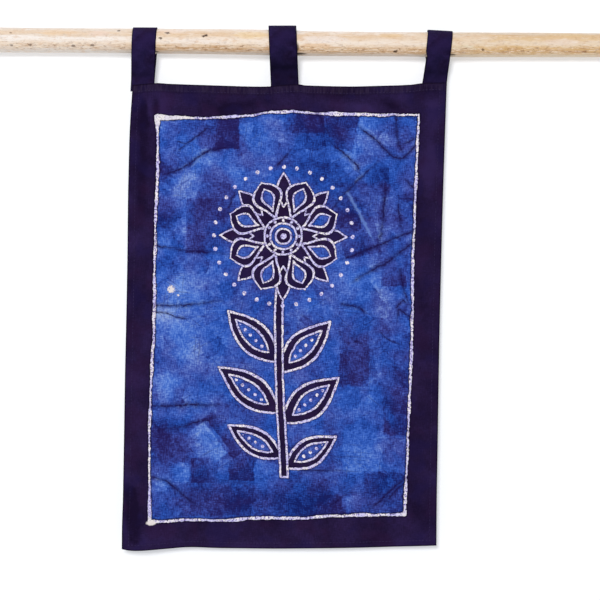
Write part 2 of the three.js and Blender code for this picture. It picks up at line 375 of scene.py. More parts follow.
cotton = {name: dye(*shade) for name, shade in cottonShades.items()}
cottonFinish = {
    "roughness": 0.92,
    "specular": 0.06,
    "bumpDepth": 0.25,
    "slubLength": 6,  # a thicker thread in the weave
    "slubWidth": 1.15,
    "slubLift": 2.0,
    "panelPitch": 0.55,  # two threads, one over and one under
    "panelBump": 0.35,
    "tabPitch": 0.5,
    "tabBump": 0.4,
}
wobbleSizes = {
    "broad": 30,
    "fine": 6,
    "fineShare": 0.45,
    "drawn": 2.6,  # how far a drawn line strays
    "torn": 5.0,
    "loose": 10.0,
}


# Effects that the cotton's materials share

@nodeGroup({"Vector": "Vector", "Reach": "Float"}, {"Vector": "Vector"})
def handWobble(w, vector, reach):  # a drawn line's unsteadiness
    share = wobbleSizes["fineShare"]
    middle = (0.5, 0.5, 0.5)
    broad = w.noise(vector, wobbleSizes["broad"], 2, output="Color")
    fine = w.noise(vector, wobbleSizes["fine"], 1, output="Color")
    broadShift = w.vectorCalc("SUBTRACT", broad, middle)
    fineShift = w.vectorCalc("MULTIPLY", w.vectorCalc("SUBTRACT", fine, middle), (share, share, share))
    both = w.vectorCalc("MULTIPLY", w.vectorCalc("ADD", broadShift, fineShift), (1, 1, 0))
    return [w.vectorCalc("ADD", vector, w.scaled(both, reach))]


@nodeGroup({"Vector": "Vector", "Pitch": "Float"}, {"Slub": "Float", "Height": "Float"})
def clothWeave(w, vector, pitch):  # plain weave with thicker threads here and there
    slubs = []
    for alongX, alongZ in (("slubLength", "slubWidth"), ("slubWidth", "slubLength")):
        stretch = (1 / cottonFinish[alongX], 1 / cottonFinish[alongZ], 0)
        slubs.append(w.noise(w.vectorCalc("MULTIPLY", vector, stretch), 1, 2, 0.6))
    slub = w.minus(w.plus(*slubs), 1.0)
    place = w.split(vector)
    turn = w.calc("DIVIDE", 2 * math.pi, pitch)
    warp = w.calc("SINE", w.times(place[0], turn))
    weft = w.calc("SINE", w.times(place[1], turn))
    over = w.times(warp, weft)
    return [slub, w.timesPlus(slub, cottonFinish["slubLift"], over)]


@nodeGroup({"Vector": "Vector", "Slub": "Float", "Lift": "Float"}, {"Colour": "Color"})
def navyDye(w, vector, slub, lift):  # lift makes it lighter, below 0 darker: painted light and shade on the panel's small folds, random mottle on the tabs
    mottle = w.plus(w.noise(vector, 42, 4, 0.6), lift)
    value = w.timesPlus(slub, 0.4, mottle)
    colour = w.ramp(value, (0.2, cotton["navyDark"]), (0.5, cotton["navy"]), (0.85, cotton["navyLight"]))
    lean = w.noise(vector, 34, 2)
    colour = w.mix(w.step(lean, 0.52, 0.7, 0, 0.4), colour, cotton["navyBlue"])
    return [w.mix(w.step(lean, 0.48, 0.3, 0, 0.35), colour, cotton["navyPlum"])]


@nodeGroup({"Vector": "Vector"}, {"Colour": "Color"})
def waxResist(w, vector):  # undyed cloth where the wax was, stained where it cracked
    tone = w.step(w.noise(vector, 16, 2), 0.38, 0.6)
    clean = w.mix(tone, cotton["wax"], cotton["waxLilac"])
    stain = w.step(w.noise(vector, 3.0, 3, 0.7), 0.46, 0.68, 0, 0.9)
    stained = w.mix(stain, clean, cotton["waxStain"])
    thread = w.step(w.noise(vector, 2.0, 1), 0.57, 0.70, 0, 0.9)
    return [w.mix(thread, stained, cotton["waxThread"])]


# How deep a place is inside a petal: 0 on its outline, below 0 outside
@nodeGroup(dict.fromkeys(("Along", "Across", "Start", "End", "Width", "Bend"), "Float"), {"Depth": "Float"})
def petalShape(w, along, across, start, end, width, bend):
    share = w.step(along, start, end, kind="LINEAR")
    profile = w.calc("SINE", w.times(w.calc("POWER", share, bend), math.pi))
    before = w.minus(start, along)
    after = w.minus(along, end)
    outside = w.most(w.most(before, after), 0.0)
    half = w.times(profile, width)
    depth = w.minus(half, w.unsigned(across))
    return [w.minus(depth, outside)]


@nodeGroup(
    {"Under": "Color", "Fill": "Color", "Wax": "Color", "Depth": "Float", "Line": "Float"},
    {"Colour": "Color"},
)
def dyeMark(w, under, fill, wax, depth, line):  # a shape filled with dye, and its wax line with pooled dye
    filled = w.mix(w.step(depth, -0.3, 0.3), under, fill)
    fromLine = w.minus(w.unsigned(depth), line)
    pooled = w.mix(w.step(fromLine, 0.2, 1.9, 0.7, 0), filled, cotton["poolFine"])
    return [w.mix(w.step(fromLine, 0.35, -0.35), pooled, wax)]


@nodeGroup(dict.fromkeys(("Vector", "Place", "Along", "Across"), "Vector"), {"Mask": "Float"})
def dyePatch(w, vector, place, way, sideways):  # a patch with one strong, crisp end, fading to the other
    fromMiddle = w.vectorCalc("SUBTRACT", vector, place)
    along = w.dot(fromMiddle, way)
    across = w.dot(fromMiddle, sideways)
    far = w.most(w.unsigned(along), w.unsigned(across))
    strength = w.step(along, -1.0, 0.6, 0.1, 1.0)
    return [w.times(strength, w.step(far, 1.04, 0.96))]


@nodeGroup(
    {"Vector": "Vector", "Place": "Vector", "Along": "Vector", "Half": "Float", "Thin": "Float"},
    {"Distance": "Float"},
)
def crackStroke(w, vector, place, way, half, thin):  # distance from a stroke, more where it thins
    fromMiddle = w.vectorCalc("SUBTRACT", vector, place)
    along = w.least(w.dot(fromMiddle, way), half)
    along = w.most(along, w.times(half, -1.0))
    away = w.length(w.vectorCalc("SUBTRACT", fromMiddle, w.scaled(way, along)))
    return [w.timesPlus(w.most(along, 0.0), thin, away)]


@nodeGroup({"Vector": "Vector", "Size": "Float"}, {"Shade": "Float"})
def crumpleFacets(w, vector, size):  # flat facets of crumpled cloth, each shaded towards one side
    values = {"Vector": vector, "Scale": w.calc("DIVIDE", 1.0, size)}
    cells = w.labelled("ShaderNodeTexVoronoi", values, feature="F1", voronoi_dimensions="2D").outputs
    chance = w.split(cells["Color"])
    fromMiddle = w.split(w.vectorCalc("SUBTRACT", vector, cells["Position"]))
    angle = w.times(chance[1], 2 * math.pi)
    slopeX = w.times(w.calc("COSINE", angle), fromMiddle[0])
    slopeZ = w.times(w.calc("SINE", angle), fromMiddle[1])
    slope = w.calc("DIVIDE", w.plus(slopeX, slopeZ), size)
    level = w.minus(chance[0], 0.5)
    return [w.timesPlus(slope, 0.9, level)]


print("cotton effects:", len(bpy.data.node_groups), "node groups")


# The batik cotton

waxFrame = {
    "left": rowsOf(
        "z x",
        (-84, -162.5), (-100, -162.0), (-131, -161.2), (-201, -163.1), (-267, -163.8), (-354, -164.9),
        (-420, -168.0), (-485, -168.7), (-579, -167.4), (-590, -167.2),
    ),
    "right": rowsOf(
        "z x",
        (-80, 155.3), (-98, 155.1), (-133, 153.5), (-199, 151.6), (-264, 149.7), (-352, 149.2),
        (-417, 147.3), (-483, 145.3), (-549, 142.8), (-580, 141.0),
    ),
    "top": rowsOf(
        "x z",
        (-168, -91.3), (-107, -91.2), (-48, -87.1), (-5, -82.5), (39, -84.6), (97, -85.4), (160, -85.5),
    ),
    "bottom": rowsOf(
        "x z",
        (-174, -582.3), (-138, -580.5), (-109, -579.1), (-80, -580.1), (-36, -576.7), (8, -576.4),
        (51, -573.6), (95, -572.6), (148, -570.1),
    ),
    "halfLine": 1.0,
    "halfLineMore": 0.8,  # where the wax ran thicker
    "halfLineLow": 0.3,  # along the bottom
    "lowZ": (-540, -570),
    "unevenSize": 26,
    "lumps": ((1.4, 4.2), (1.1, 1.8)),  # lumps, then single threads: how much, and their size
}
waxBlobs = rowsOf(  # places in the photograph where the line swells, by how much, and how unstained it is
    "x y reach extra bare",
    (157.5, 117, 16, 3.2, 1.0),
    (178, 119, 26, 1.2, 1.0),
    (150, 522, 9, 0.6, 1.0),
    (335, 113, 10, 1.2, 0.0),
    (405, 515, 9, 1.3, 0.5),
)
dyeClouds = rowsOf(  # soft light and dark places in the photograph, and how violet they are
    "x y wide high shade violet",
    (175, 318, 40, 88, 0.48, -0.3),
    (196, 345, 32, 36, 0.14, 0.0),
    (192, 280, 30, 26, 0.14, -0.4),
    (166, 262, 22, 30, -0.34, 0.0),
    (160, 118, 20, 18, 0.50, -0.2),
    (188, 194, 22, 26, 0.40, -0.1),
    (158, 168, 18, 20, -0.46, 0.1),
    (166, 223, 20, 18, -0.42, 0.0),
    (186, 220, 20, 20, 0.22, 0.0),
    (186, 250, 24, 26, -0.24, 0.0),
    (160, 244, 18, 18, 0.48, 0.0),
    (160, 312, 18, 16, 0.26, -0.1),
    (166, 358, 28, 22, -0.28, 0.1),
    (162, 384, 24, 24, 0.52, -0.2),
    (165, 487, 26, 22, 0.38, 0.0),
    (160, 455, 16, 14, -0.26, 0.0),
    (380, 236, 22, 24, 0.42, 0.1),
    (354, 168, 20, 16, 0.24, -0.1),
    (352, 214, 18, 20, -0.20, 0.1),
    (376, 311, 20, 20, 0.22, -0.1),
    (362, 430, 28, 22, -0.20, 0.0),
    (168, 439, 32, 28, -0.62, 0.5),
    (188, 475, 60, 40, -0.10, 0.1),
    (270, 506, 160, 38, -0.34, -0.2),
    (398, 500, 50, 50, -0.20, 0.0),
    (268, 124, 30, 34, 0.26, -0.2),
    (366, 130, 40, 30, 0.34, -0.2),
    (296, 124, 26, 24, -0.30, 0.1),
    (322, 165, 44, 54, -0.26, -0.8),
    (384, 205, 44, 62, -0.10, 0.3),
    (374, 177, 18, 18, -0.12, -0.9),
    (356, 280, 34, 28, 0.46, -0.3),
    (396, 292, 22, 22, 0.02, -0.3),
    (358, 425, 40, 60, 0.14, -0.7),
    (398, 390, 24, 56, -0.30, 0.3),
    (210, 205, 32, 50, -0.04, 0.6),
    (172, 135, 26, 30, 0.10, 0.0),
    (207, 160, 16, 14, 0.36, -0.2),
    (192, 176, 14, 13, 0.34, -0.2),
    (237, 176, 12, 16, 0.28, -0.2),
    (344, 157, 10, 9, 0.50, -0.3),
    (184, 292, 22, 18, 0.18, -0.2),
    (197, 322, 16, 14, -0.16, -0.1),
    (388, 418, 16, 14, 0.18, 0.0),
    (388, 370, 14, 12, -0.14, 0.0),
)
dyePatches = rowsOf(  # in the photograph's pixels; turn is the way that a patch grows strong
    "x y along across turn shade",
    (218, 133, 21, 16, 0, -0.42),
    (304, 121, 20, 12, 0, -0.26),
    (332, 128, 25, 19, -12, -0.30),
    (213, 226, 27, 27, 180, -0.22),
    (356, 226, 31, 19, -75, -0.22),
    (378, 182, 11, 14, 0, -0.12),
    (383, 191, 7, 8, 0, -0.14),
    (394, 277, 9, 12, -90, -0.28),
    (354, 348, 38, 15, -90, -0.26),
    (396, 412, 23, 13, -90, -0.22),
    (225, 433, 10, 26, 219, -0.30),
    (242, 468, 12, 12, -90, -0.32),
    (205, 470, 14, 13, 180, -0.30),
    (215, 497, 18, 25, -90, -0.16),
    (317, 455, 17, 15, 0, -0.18),
    (322, 506, 24, 11, 0, -0.18),
    (386, 492, 20, 22, 90, -0.14),
    (350, 143, 6, 15, 0, 0.18),
    (382, 136, 24, 19, 180, 0.12),
    (204, 446, 18, 20, 39, 0.30),
    (179, 472, 10, 10, 0, 0.26),
    (363, 448, 23, 20, -90, 0.16),
    (353, 504, 11, 8, 180, 0.22),
    (181, 228, 12, 6, -90, 0.18),
)
patchDepth = 1.25  # how strongly the patches show
dyeCracks = [  # strength and the photograph's pixels along each crack in the wax
    (0.8, (156, 246), (185, 250), (228, 254)),
    (0.9, (154, 306), (185, 305), (222, 301)),
    (0.45, (154, 312), (168, 314), (178, 317), (192, 318)),
    (1.0, (152, 406), (185, 405), (219, 404)),
    (0.8, (160, 431), (190, 424), (222, 415)),
    (0.9, (153, 477), (166, 481), (184, 495), (199, 506)),
    (0.9, (168, 174), (178, 170), (192, 162), (207, 151), (232, 146)),
    (0.55, (180, 150), (200, 134), (211, 125)),
    (0.35, (178, 141), (196, 148)),
    (0.7, (277, 165), (293, 147)),
    (0.8, (318, 112), (323, 125), (330, 137)),
    (0.9, (340, 151), (357, 165), (360, 173)),
    (0.7, (336, 148), (352, 160)),
    (0.9, (414, 147), (403, 159), (392, 157), (375, 140), (358, 125)),
    (0.8, (396, 118), (399, 144), (403, 153)),
    (0.7, (414, 139), (399, 144)),
    (0.9, (335, 206), (345, 192), (356, 182), (377, 161)),
    (1.0, (386, 190), (384, 208), (381, 232), (379, 243)),
    (0.9, (412, 231), (391, 240), (369, 249), (354, 255), (341, 261)),
    (1.0, (413, 243), (385, 263), (365, 274), (352, 282)),
    (0.8, (399, 205), (401, 232)),
    (0.7, (413, 198), (402, 198)),
    (0.7, (413, 187), (404, 178)),
    (0.8, (400, 270), (402, 285), (409, 308)),
    (0.9, (343, 304), (360, 308), (366, 314)),
    (0.7, (396, 308), (402, 300), (407, 304)),
    (0.7, (412, 318), (398, 310), (398, 322)),
    (0.4, (380, 332), (388, 340), (404, 346)),
    (0.4, (355, 340), (366, 347)),
    (0.6, (228, 207), (238, 187)),
    (0.8, (408, 476), (386, 495), (368, 512)),
    (0.7, (404, 484), (380, 507)),
    (0.6, (330, 505), (345, 495)),
    (0.7, (298, 470), (350, 471)),
]
paleStreaks = [  # folds that the dye hardly reached, in the same way
    (0.9, (347, 192), (360, 214), (374, 242)),
    (0.7, (356, 181), (367, 169)),
    (0.6, (192, 166), (206, 153)),
]
stainWidths = {
    "crack": 2.6,  # from the middle of a crack to its edge
    "halo": 6.0,  # and to where its stain ends
    "pale": 3.4,
    "thin": 2.2,  # how much narrower a line gets towards its last end
    "crackRagged": 5.2,
    "paleRagged": 8.0,
}
waxSplashes = rowsOf(  # drops of wax, in the photograph's pixels, their size in millimetres, how torn
    "x y wide high torn",
    (171.5, 289.5, 5.4, 5.4, 1.5),
    (178.5, 295.5, 1.5, 1.5, 0.5),
    (151.4, 522.8, 7.6, 3.6, 0.25),
)

flowerDesign = {  # a flower on a leafy stem
    "x": -8,
    "z": -234,
    "petals": 8,
    "petal": {"Start": 21, "End": 70, "Width": 17.5, "Bend": 1.6},
    "tear": {"Start": 33, "End": 62, "Width": 7.6, "Bend": 1.4},
    "sepal": {"Start": 36, "End": 77, "Width": 8.5, "Bend": 1.0},
    "bed": 40,
    "rings": (23, 16, 9.4),
    "heart": 3.8,
    "pollen": {"count": 12, "ring": 19.6, "radius": 1.75},
    "halo": {"count": 32, "ring": 84, "radius": 2.3},
    "line": 1.5,
    "thinLine": 1.15,
    "stemHalf": 4.4,
    "stemSway": 5,
    "stemSwayLength": 75,
    "stemFoot": -526,
    "leafShift": 12,  # leaves on one side sit this much higher
    "leafStart": 2.0,
    "leafBend": 0.9,
    "leafInner": {"start": 0.2, "end": 0.84, "width": 0.52},  # shares of the leaf
    "leafDot": {"pitch": 9.5, "radius": 1.9, "inset": 3.4},
}
leafPairs = rowsOf(
    "z turn length width",
    (-394, 45, 88, 18.5),
    (-456, 38, 92, 19.0),
    (-510, 31, 76, 16.0),
)

groundSizes = {
    "tone": 0.52,
    "clouds": (0.4, 60),  # how strongly they show, and their size
    "violet": 0.45,
    "violetClouds": (2.8, 34),
    "facets": ((0.14, 50.0), (0.18, 21.0)),
    "grain": ((0.56, 8.0), (0.34, 2.2)),  # scribbles, then grain
    "slub": 0.9,
    "range": 0.8,  # the share of the blues that tones from 0 to 1 run through
}
groundBlues = {  # from dark to light
    "cold": ((22, 34, 101), (31, 56, 136), (40, 79, 173), (58, 100, 199), (88, 127, 214), (122, 156, 228)),
    "warm": ((38, 32, 90), (49, 51, 121), (61, 75, 160), (80, 100, 185), (116, 139, 209), (150, 172, 224)),
}
strayLines = rowsOf("turn length", (31, 60), (-38, 48), (-4, 70), (84, 52))
strayWidth = 2.3
borderSizes = {
    "tick": (1.9, 16, 1),  # the width and height of a painted highlight on a pucker between stitches
    "rubbed": (12.0, 7.0),  # below the top edge, from none of the hem's painted light and shade to the most
    "seam": 10.2,
    "seamHalf": 2.6,
    "shadeX": (120, 165),  # painted shade, darker towards the right
    "edge": (2.2, 0.4),
}
backPale = 0.16  # how much paler the dye is on the back


def onShader(row):  # a row's pixels as a place that a shader can use
    return (*onCloth(row["x"], row["y"]), 0)


def frameDepth(w, x, z):  # distance inside the wax frame, below 0 in the border and round its corners
    fromLeft = w.minus(x, w.smoothCurve(z, waxFrame["left"], "z", "x"))
    fromRight = w.minus(w.smoothCurve(z, waxFrame["right"], "z", "x"), x)
    fromTop = w.minus(w.smoothCurve(x, waxFrame["top"], "x", "z"), z)
    fromBottom = w.minus(z, w.smoothCurve(x, waxFrame["bottom"], "x", "z"))
    sides = w.least(fromLeft, fromRight)
    ends = w.least(fromTop, fromBottom)
    inner = w.most(w.least(sides, ends), 0.0)
    outer = w.length(w.join(w.least(sides, 0.0), w.least(ends, 0.0)))
    return w.minus(inner, outer)


def frameLine(w, flat):  # half the width of the frame's wax line, place by place, and where it is bare
    uneven = w.step(w.noise(flat, waxFrame["unevenSize"], 2), 0.35, 0.7)
    half = w.timesPlus(uneven, waxFrame["halfLineMore"], waxFrame["halfLine"])
    half = w.plus(half, w.step(w.split(flat)[1], *waxFrame["lowZ"], 0, waxFrame["halfLineLow"]))
    for share, size in waxFrame["lumps"]:
        half = w.stray(half, share, flat, size, 1)
    bare = 0.0
    for blob in waxBlobs:
        reach = blob["reach"]
        swell = w.spot(flat, onShader(blob), (reach, reach, reach))
        half = w.timesPlus(swell, blob["extra"], half)
        bare = w.most(bare, w.times(swell, blob["bare"]))
    return half, bare


def groundTone(w, flat, torn, loose, slub):  # how light the blue is, about 0 to 1, and how violet
    sizes = groundSizes
    pixel = photoView["scale"]
    cloudShare, cloudSize = sizes["clouds"]
    tone = w.stray(sizes["tone"], cloudShare, flat, cloudSize, 3, 0.55)
    violetShare, violetSize = sizes["violetClouds"]
    violet = w.stray(sizes["violet"], violetShare, loose, violetSize, 3)
    for share, size in sizes["facets"]:
        facets = w.group(crumpleFacets, Vector=loose, Size=size)["Shade"]
        tone = w.timesPlus(facets, share, tone)
    for cloud in dyeClouds:
        soft = w.spot(loose, onShader(cloud), (cloud["wide"] * pixel, cloud["high"] * pixel, 1))
        tone = w.timesPlus(soft, cloud["shade"], tone)
        violet = w.timesPlus(soft, cloud["violet"], violet)
    for patch in dyePatches:
        turn = math.radians(patch["turn"] + photoView["roll"])
        along = patch["along"] * pixel
        across = patch["across"] * pixel
        mask = w.group(
            dyePatch,
            Vector=torn,
            Place=onShader(patch),
            Along=(math.cos(turn) / along, math.sin(turn) / along, 0),
            Across=(-math.sin(turn) / across, math.cos(turn) / across, 0),
        )["Mask"]
        shade = patch["shade"] * patchDepth
        tone = w.timesPlus(mask, shade, tone)
        violet = w.timesPlus(mask, -shade, violet)
    for share, size in sizes["grain"]:
        tone = w.stray(tone, share, flat, size, 3, 0.65)
    return w.timesPlus(slub, sizes["slub"], tone), violet


def strokeDistance(w, vector, lines):  # to the nearest stroke, and a weak one counts as farther
    nearest = 1000.0
    for strength, *places in lines:
        for (x0, y0), (x1, y1) in zip(places, places[1:]):
            half = 0.5 * photoView["scale"] * math.hypot(x1 - x0, y1 - y0)
            startX, startZ = onCloth(x0, y0)
            endX, endZ = onCloth(x1, y1)
            turn = math.atan2(endZ - startZ, endX - startX)
            away = w.group(
                crackStroke,
                Vector=vector,
                Place=((startX + endX) / 2, (startZ + endZ) / 2, 0),
                Along=(math.cos(turn), math.sin(turn), 0),
                Half=half,
                Thin=stainWidths["thin"] / half if (x1, y1) == places[-1] else 0.0,
            )["Distance"]
            nearest = w.least(nearest, w.calc("DIVIDE", away, strength))
    return nearest


def crackStain(w, flat, torn):  # dye in the cracks: a ragged dark line in a soft stain
    away = strokeDistance(w, torn, dyeCracks)
    rough = w.stray(away, stainWidths["crackRagged"], flat, 3.0, 3, 0.7)
    core = w.step(rough, stainWidths["crack"], 0.2, 0, 0.94)
    halo = w.step(away, stainWidths["halo"], 0.5, 0, 0.55)
    patchy = w.step(w.noise(flat, 17, 2), 0.3, 0.55, 0.7, 1.0)
    return w.times(w.most(core, halo), patchy)


def strayCracks(w, vector):  # finer cracks, each way, in loose groups
    mask = 0.0
    for line in strayLines:
        reach = (line["length"], strayWidth, 1)
        local = w.placed(vector, (0, 0, 0), math.radians(line["turn"]), reach)
        mask = w.most(mask, w.step(w.noise(local, 1, 1), 0.67, 0.78))
    return w.times(mask, w.step(w.noise(vector, 60, 1), 0.42, 0.58, 0, 0.42))


def groundColour(w, flat, drawn, torn, loose, slub):
    tone, violet = groundTone(w, flat, torn, loose, slub)
    level = w.times(tone, groundSizes["range"])
    ramps = {}
    for name, blues in groundBlues.items():
        stops = [(i / (len(blues) - 1), dye(*blue)) for i, blue in enumerate(blues)]
        ramps[name] = w.ramp(level, *stops)
    colour = w.mix(w.step(violet, 0.0, 1.0, kind="LINEAR"), ramps["cold"], ramps["warm"])
    pale = strokeDistance(w, drawn, paleStreaks)
    faint = w.stray(pale, stainWidths["paleRagged"], flat, 4, 3, 0.7)
    colour = w.mix(w.step(faint, stainWidths["pale"], 0.3, 0, 0.58), colour, cotton["paleFold"])
    return w.mix(strayCracks(w, drawn), colour, cotton["strayCrack"])


def inSector(w, radius, angle, sector):  # along the middle of the nearest of equal sectors, and across it
    turn = w.calc("WRAP", angle, sector / 2, -sector / 2)
    along = w.times(w.calc("COSINE", turn), radius)
    across = w.times(w.calc("SINE", turn), radius)
    return along, across


def dotRing(w, radius, angle, ring):  # how deep a place is inside the nearest dot of a ring
    along, across = inSector(w, radius, angle, 2 * math.pi / ring["count"])
    fromDot = w.join(w.minus(along, ring["ring"]), across)
    return w.minus(ring["radius"], w.length(fromDot))


def flowerPicture(w, drawn, ground, navy, wax):
    design = flowerDesign
    line = design["line"]
    thin = design["thinLine"]
    place = w.split(drawn)
    x = w.minus(place[0], design["x"])
    z = w.minus(place[1], design["z"])

    def petal(along, across, form):
        return w.group(petalShape, Along=along, Across=across, **form)["Depth"]

    def marked(under, fill, depth, half):
        return w.group(dyeMark, Under=under, Fill=fill, Wax=wax, Depth=depth, Line=half)["Colour"]

    # stem and leaves
    sway = w.calc("SINE", w.calc("DIVIDE", z, design["stemSwayLength"]))
    fromStem = w.timesPlus(sway, -design["stemSway"], x)
    stemSide = w.minus(design["stemHalf"], w.unsigned(fromStem))
    stemEnd = w.least(w.minus(place[1], design["stemFoot"]), w.times(z, -1.0))
    stem = w.least(stemSide, stemEnd)
    outward = w.unsigned(fromStem)
    shift = w.times(w.calc("SIGN", fromStem), design["leafShift"] / 2)
    side = w.join(outward, w.plus(place[1], shift))
    dot = design["leafDot"]
    inset = design["leafInner"]
    bend = design["leafBend"]
    colour = ground
    for leaf in leafPairs:
        length = leaf["length"]
        width = leaf["width"]
        local = w.split(w.placed(side, (0, leaf["z"], 0), math.radians(leaf["turn"])))
        form = {"Start": design["leafStart"], "End": length, "Width": width, "Bend": bend}
        blade = petal(local[0], local[1], form)
        colour = marked(colour, navy, blade, line)
        form = {
            "Start": length * inset["start"],
            "End": length * inset["end"],
            "Width": width * inset["width"],
            "Bend": bend,
        }
        inner = petal(local[0], local[1], form)
        colour = marked(colour, ground, inner, thin)
        alongDot = w.calc("WRAP", local[0], dot["pitch"] / 2, -dot["pitch"] / 2)
        drop = w.minus(dot["radius"], w.length(w.join(alongDot, local[1])))
        inRow = w.least(drop, w.minus(inner, dot["inset"]))
        colour = w.mix(w.step(inRow, -0.3, 0.3), colour, wax)
    colour = marked(colour, navy, stem, thin)

    # flower
    radius = w.length(w.join(x, z))
    angle = w.calc("ARCTAN2", z, x)
    sector = 2 * math.pi / design["petals"]
    bed = w.minus(design["bed"], radius)
    colour = w.mix(w.step(bed, -0.3, 0.3), colour, navy)
    for form, offset, fill, half in (
        ("sepal", 0.0, navy, thin),
        ("petal", sector / 2, navy, line),
        ("tear", sector / 2, ground, thin),
    ):
        along, across = inSector(w, radius, w.plus(angle, offset), sector)
        colour = marked(colour, fill, petal(along, across, design[form]), half)
    for ring, fill in zip(design["rings"], (navy, ground, navy)):
        colour = marked(colour, fill, w.minus(ring, radius), thin)
    dots = w.minus(design["heart"], radius)
    for ring in (design["pollen"], design["halo"]):
        dots = w.most(dots, dotRing(w, radius, angle, ring))
    return w.mix(w.step(dots, -0.35, 0.35), colour, wax)


def borderColour(w, flat, x, navy):  # the top hem gets painted light and shade of its puckers between the stitches, the border painted shade towards the right, and every edge painted shade
    sizes = borderSizes
    heading = w.attribute("belowTop")
    ticks = w.step(w.noise(w.placed(flat, (0, 0, 0), 0, sizes["tick"]), 1, 3), 0.32, 0.7)
    rubbed = w.mix(ticks, cotton["hem"], cotton["hemPuckerLight"])
    border = w.mix(w.step(heading, *sizes["rubbed"], 0, 0.45), navy, rubbed)
    # painted shade, darker towards the right
    border = w.mix(w.step(x, *sizes["shadeX"], 0, 0.16), border, cotton["borderShade"])
    seam = w.unsigned(w.minus(heading, sizes["seam"]))
    border = w.mix(w.step(seam, sizes["seamHalf"], 0.2, 0, 0.22), border, cotton["seam"])
    # painted shade along every edge of the panel
    return w.mix(w.step(w.attribute("toEdge"), *sizes["edge"], 0, 0.7), border, cotton["panelEdgeShade"])


def makeCotton(name):
    return newMaterial(name, cottonFinish["specular"], cottonFinish["roughness"])


def makeBatikCotton():
    material, w, shader = makeCotton("batikCotton")
    place = w.split(w.objectPlace())
    x = place[0]
    flat = w.join(x, place[2])
    weave = w.group(clothWeave, Vector=flat, Pitch=cottonFinish["panelPitch"])
    ways = ("drawn", "torn", "loose")
    drawn, torn, loose = (w.group(handWobble, Vector=flat, Reach=wobbleSizes[way])["Vector"] for way in ways)
    stain = crackStain(w, flat, torn)
    ground = w.mix(stain, groundColour(w, flat, drawn, torn, loose, weave["Slub"]), cotton["crack"])
    # the navy dye, with painted light and shade on the panel's small folds
    navy = w.group(navyDye, Vector=flat, Slub=weave["Slub"], Lift=w.attribute("crease"))["Colour"]
    clean = w.group(waxResist, Vector=flat)["Colour"]
    wax = w.mix(w.times(stain, 0.85), clean, cotton["waxCrack"])
    field = flowerPicture(w, drawn, ground, navy, clean)
    border = borderColour(w, flat, x, navy)

    # the frame's wax line between the two, with dye pooled along it, and drops of wax
    framed = w.split(drawn)
    inside = frameDepth(w, framed[0], framed[1])
    line, bare = frameLine(w, flat)
    wax = w.mix(w.step(bare, 0.05, 0.5, 0, 0.6), wax, cotton["waxBare"])
    cloth = w.mix(w.step(inside, -0.3, 0.3), border, field)
    fromLine = w.minus(w.unsigned(inside), line)
    pooled = w.mix(w.step(fromLine, 0.3, 2.4, 0.9, 0), cloth, cotton["pool"])
    front = w.mix(w.step(fromLine, 0.4, -0.4), pooled, wax)
    for splash in waxSplashes:
        drop = w.spot(drawn, onShader(splash), (splash["wide"], splash["high"], 1))
        ragged = w.stray(drop, splash["torn"], flat, 1.9, 2)
        splashed = w.times(w.step(ragged, 0.08, 0.4, 0, 0.95), w.step(drop, 0.0, 0.05))
        front = w.mix(splashed, front, cotton["waxDrop"])

    behind = w.attribute("backSide")
    pale = w.mix(backPale, front, cotton["back"])
    w.feed(shader.inputs["Base Color"], w.mix(behind, front, pale))
    addBump(w, shader, weave["Height"], cottonFinish["panelBump"], cottonFinish["bumpDepth"])
    return material


def makeNavyCotton():
    material, w, shader = makeCotton("navyCotton")
    scaled = w.node("ShaderNodeUVMap", uv_map="weave").outputs["UV"]
    flat = w.vectorCalc("MULTIPLY", scaled, (1 / mm, 1 / mm, 0))
    weave = w.group(clothWeave, Vector=flat, Pitch=cottonFinish["tabPitch"])
    mottle = w.stray(0.08, 0.9, flat, 9, 3, 0.6)
    navy = w.group(navyDye, Vector=flat, Slub=weave["Slub"], Lift=mottle)["Colour"]
    bluer = w.mix(w.step(w.noise(flat, 21, 1), 0.35, 0.65, 0.05, 0.4), navy, cotton["tabBlue"])
    # painted shade on the tabs, deeper down the legs below the rod and in a crease near the foot
    colour = w.mix(w.attribute("deep"), bluer, cotton["tabDeep"])
    # painted shade along the tabs' edges
    edge = w.step(w.attribute("toEdge"), 2.0, 0.3, 0, 0.7)
    w.feed(shader.inputs["Base Color"], w.mix(edge, colour, cotton["tabEdge"]))
    addBump(w, shader, weave["Height"], cottonFinish["tabBump"], cottonFinish["bumpDepth"])
    return material


def makeThread():
    material, w, shader = makeCotton("hemThread")
    fleck = w.noise(w.objectPlace(), 2, 2, flat=False)
    colour = w.ramp(fleck, (0.3, cotton["thread"]), (0.7, cotton["threadLight"]))
    w.feed(shader.inputs["Base Color"], colour)
    return material


batikCotton = makeBatikCotton()
navyCotton = makeNavyCotton()
hemThread = makeThread()
print("cottons: batik cotton has", len(batikCotton.node_tree.nodes), "nodes")


# Meshes of cloth

def newObject(name, data):
    made = bpy.data.objects.new(name, data)
    bpy.context.scene.collection.objects.link(made)
    return made


def makePiece(name, points, faces, material):
    mesh = bpy.data.meshes.new(name)
    mesh.from_pydata((points * mm).tolist(), [], faces)
    mesh.shade_smooth()
    mesh.materials.append(material)
    return newObject(name, mesh)


def storeValue(piece, name, values):  # one number for each point
    attribute = piece.data.attributes.new(name, "FLOAT", "POINT")
    attribute.data.foreach_set("value", np.asarray(values, float).ravel())


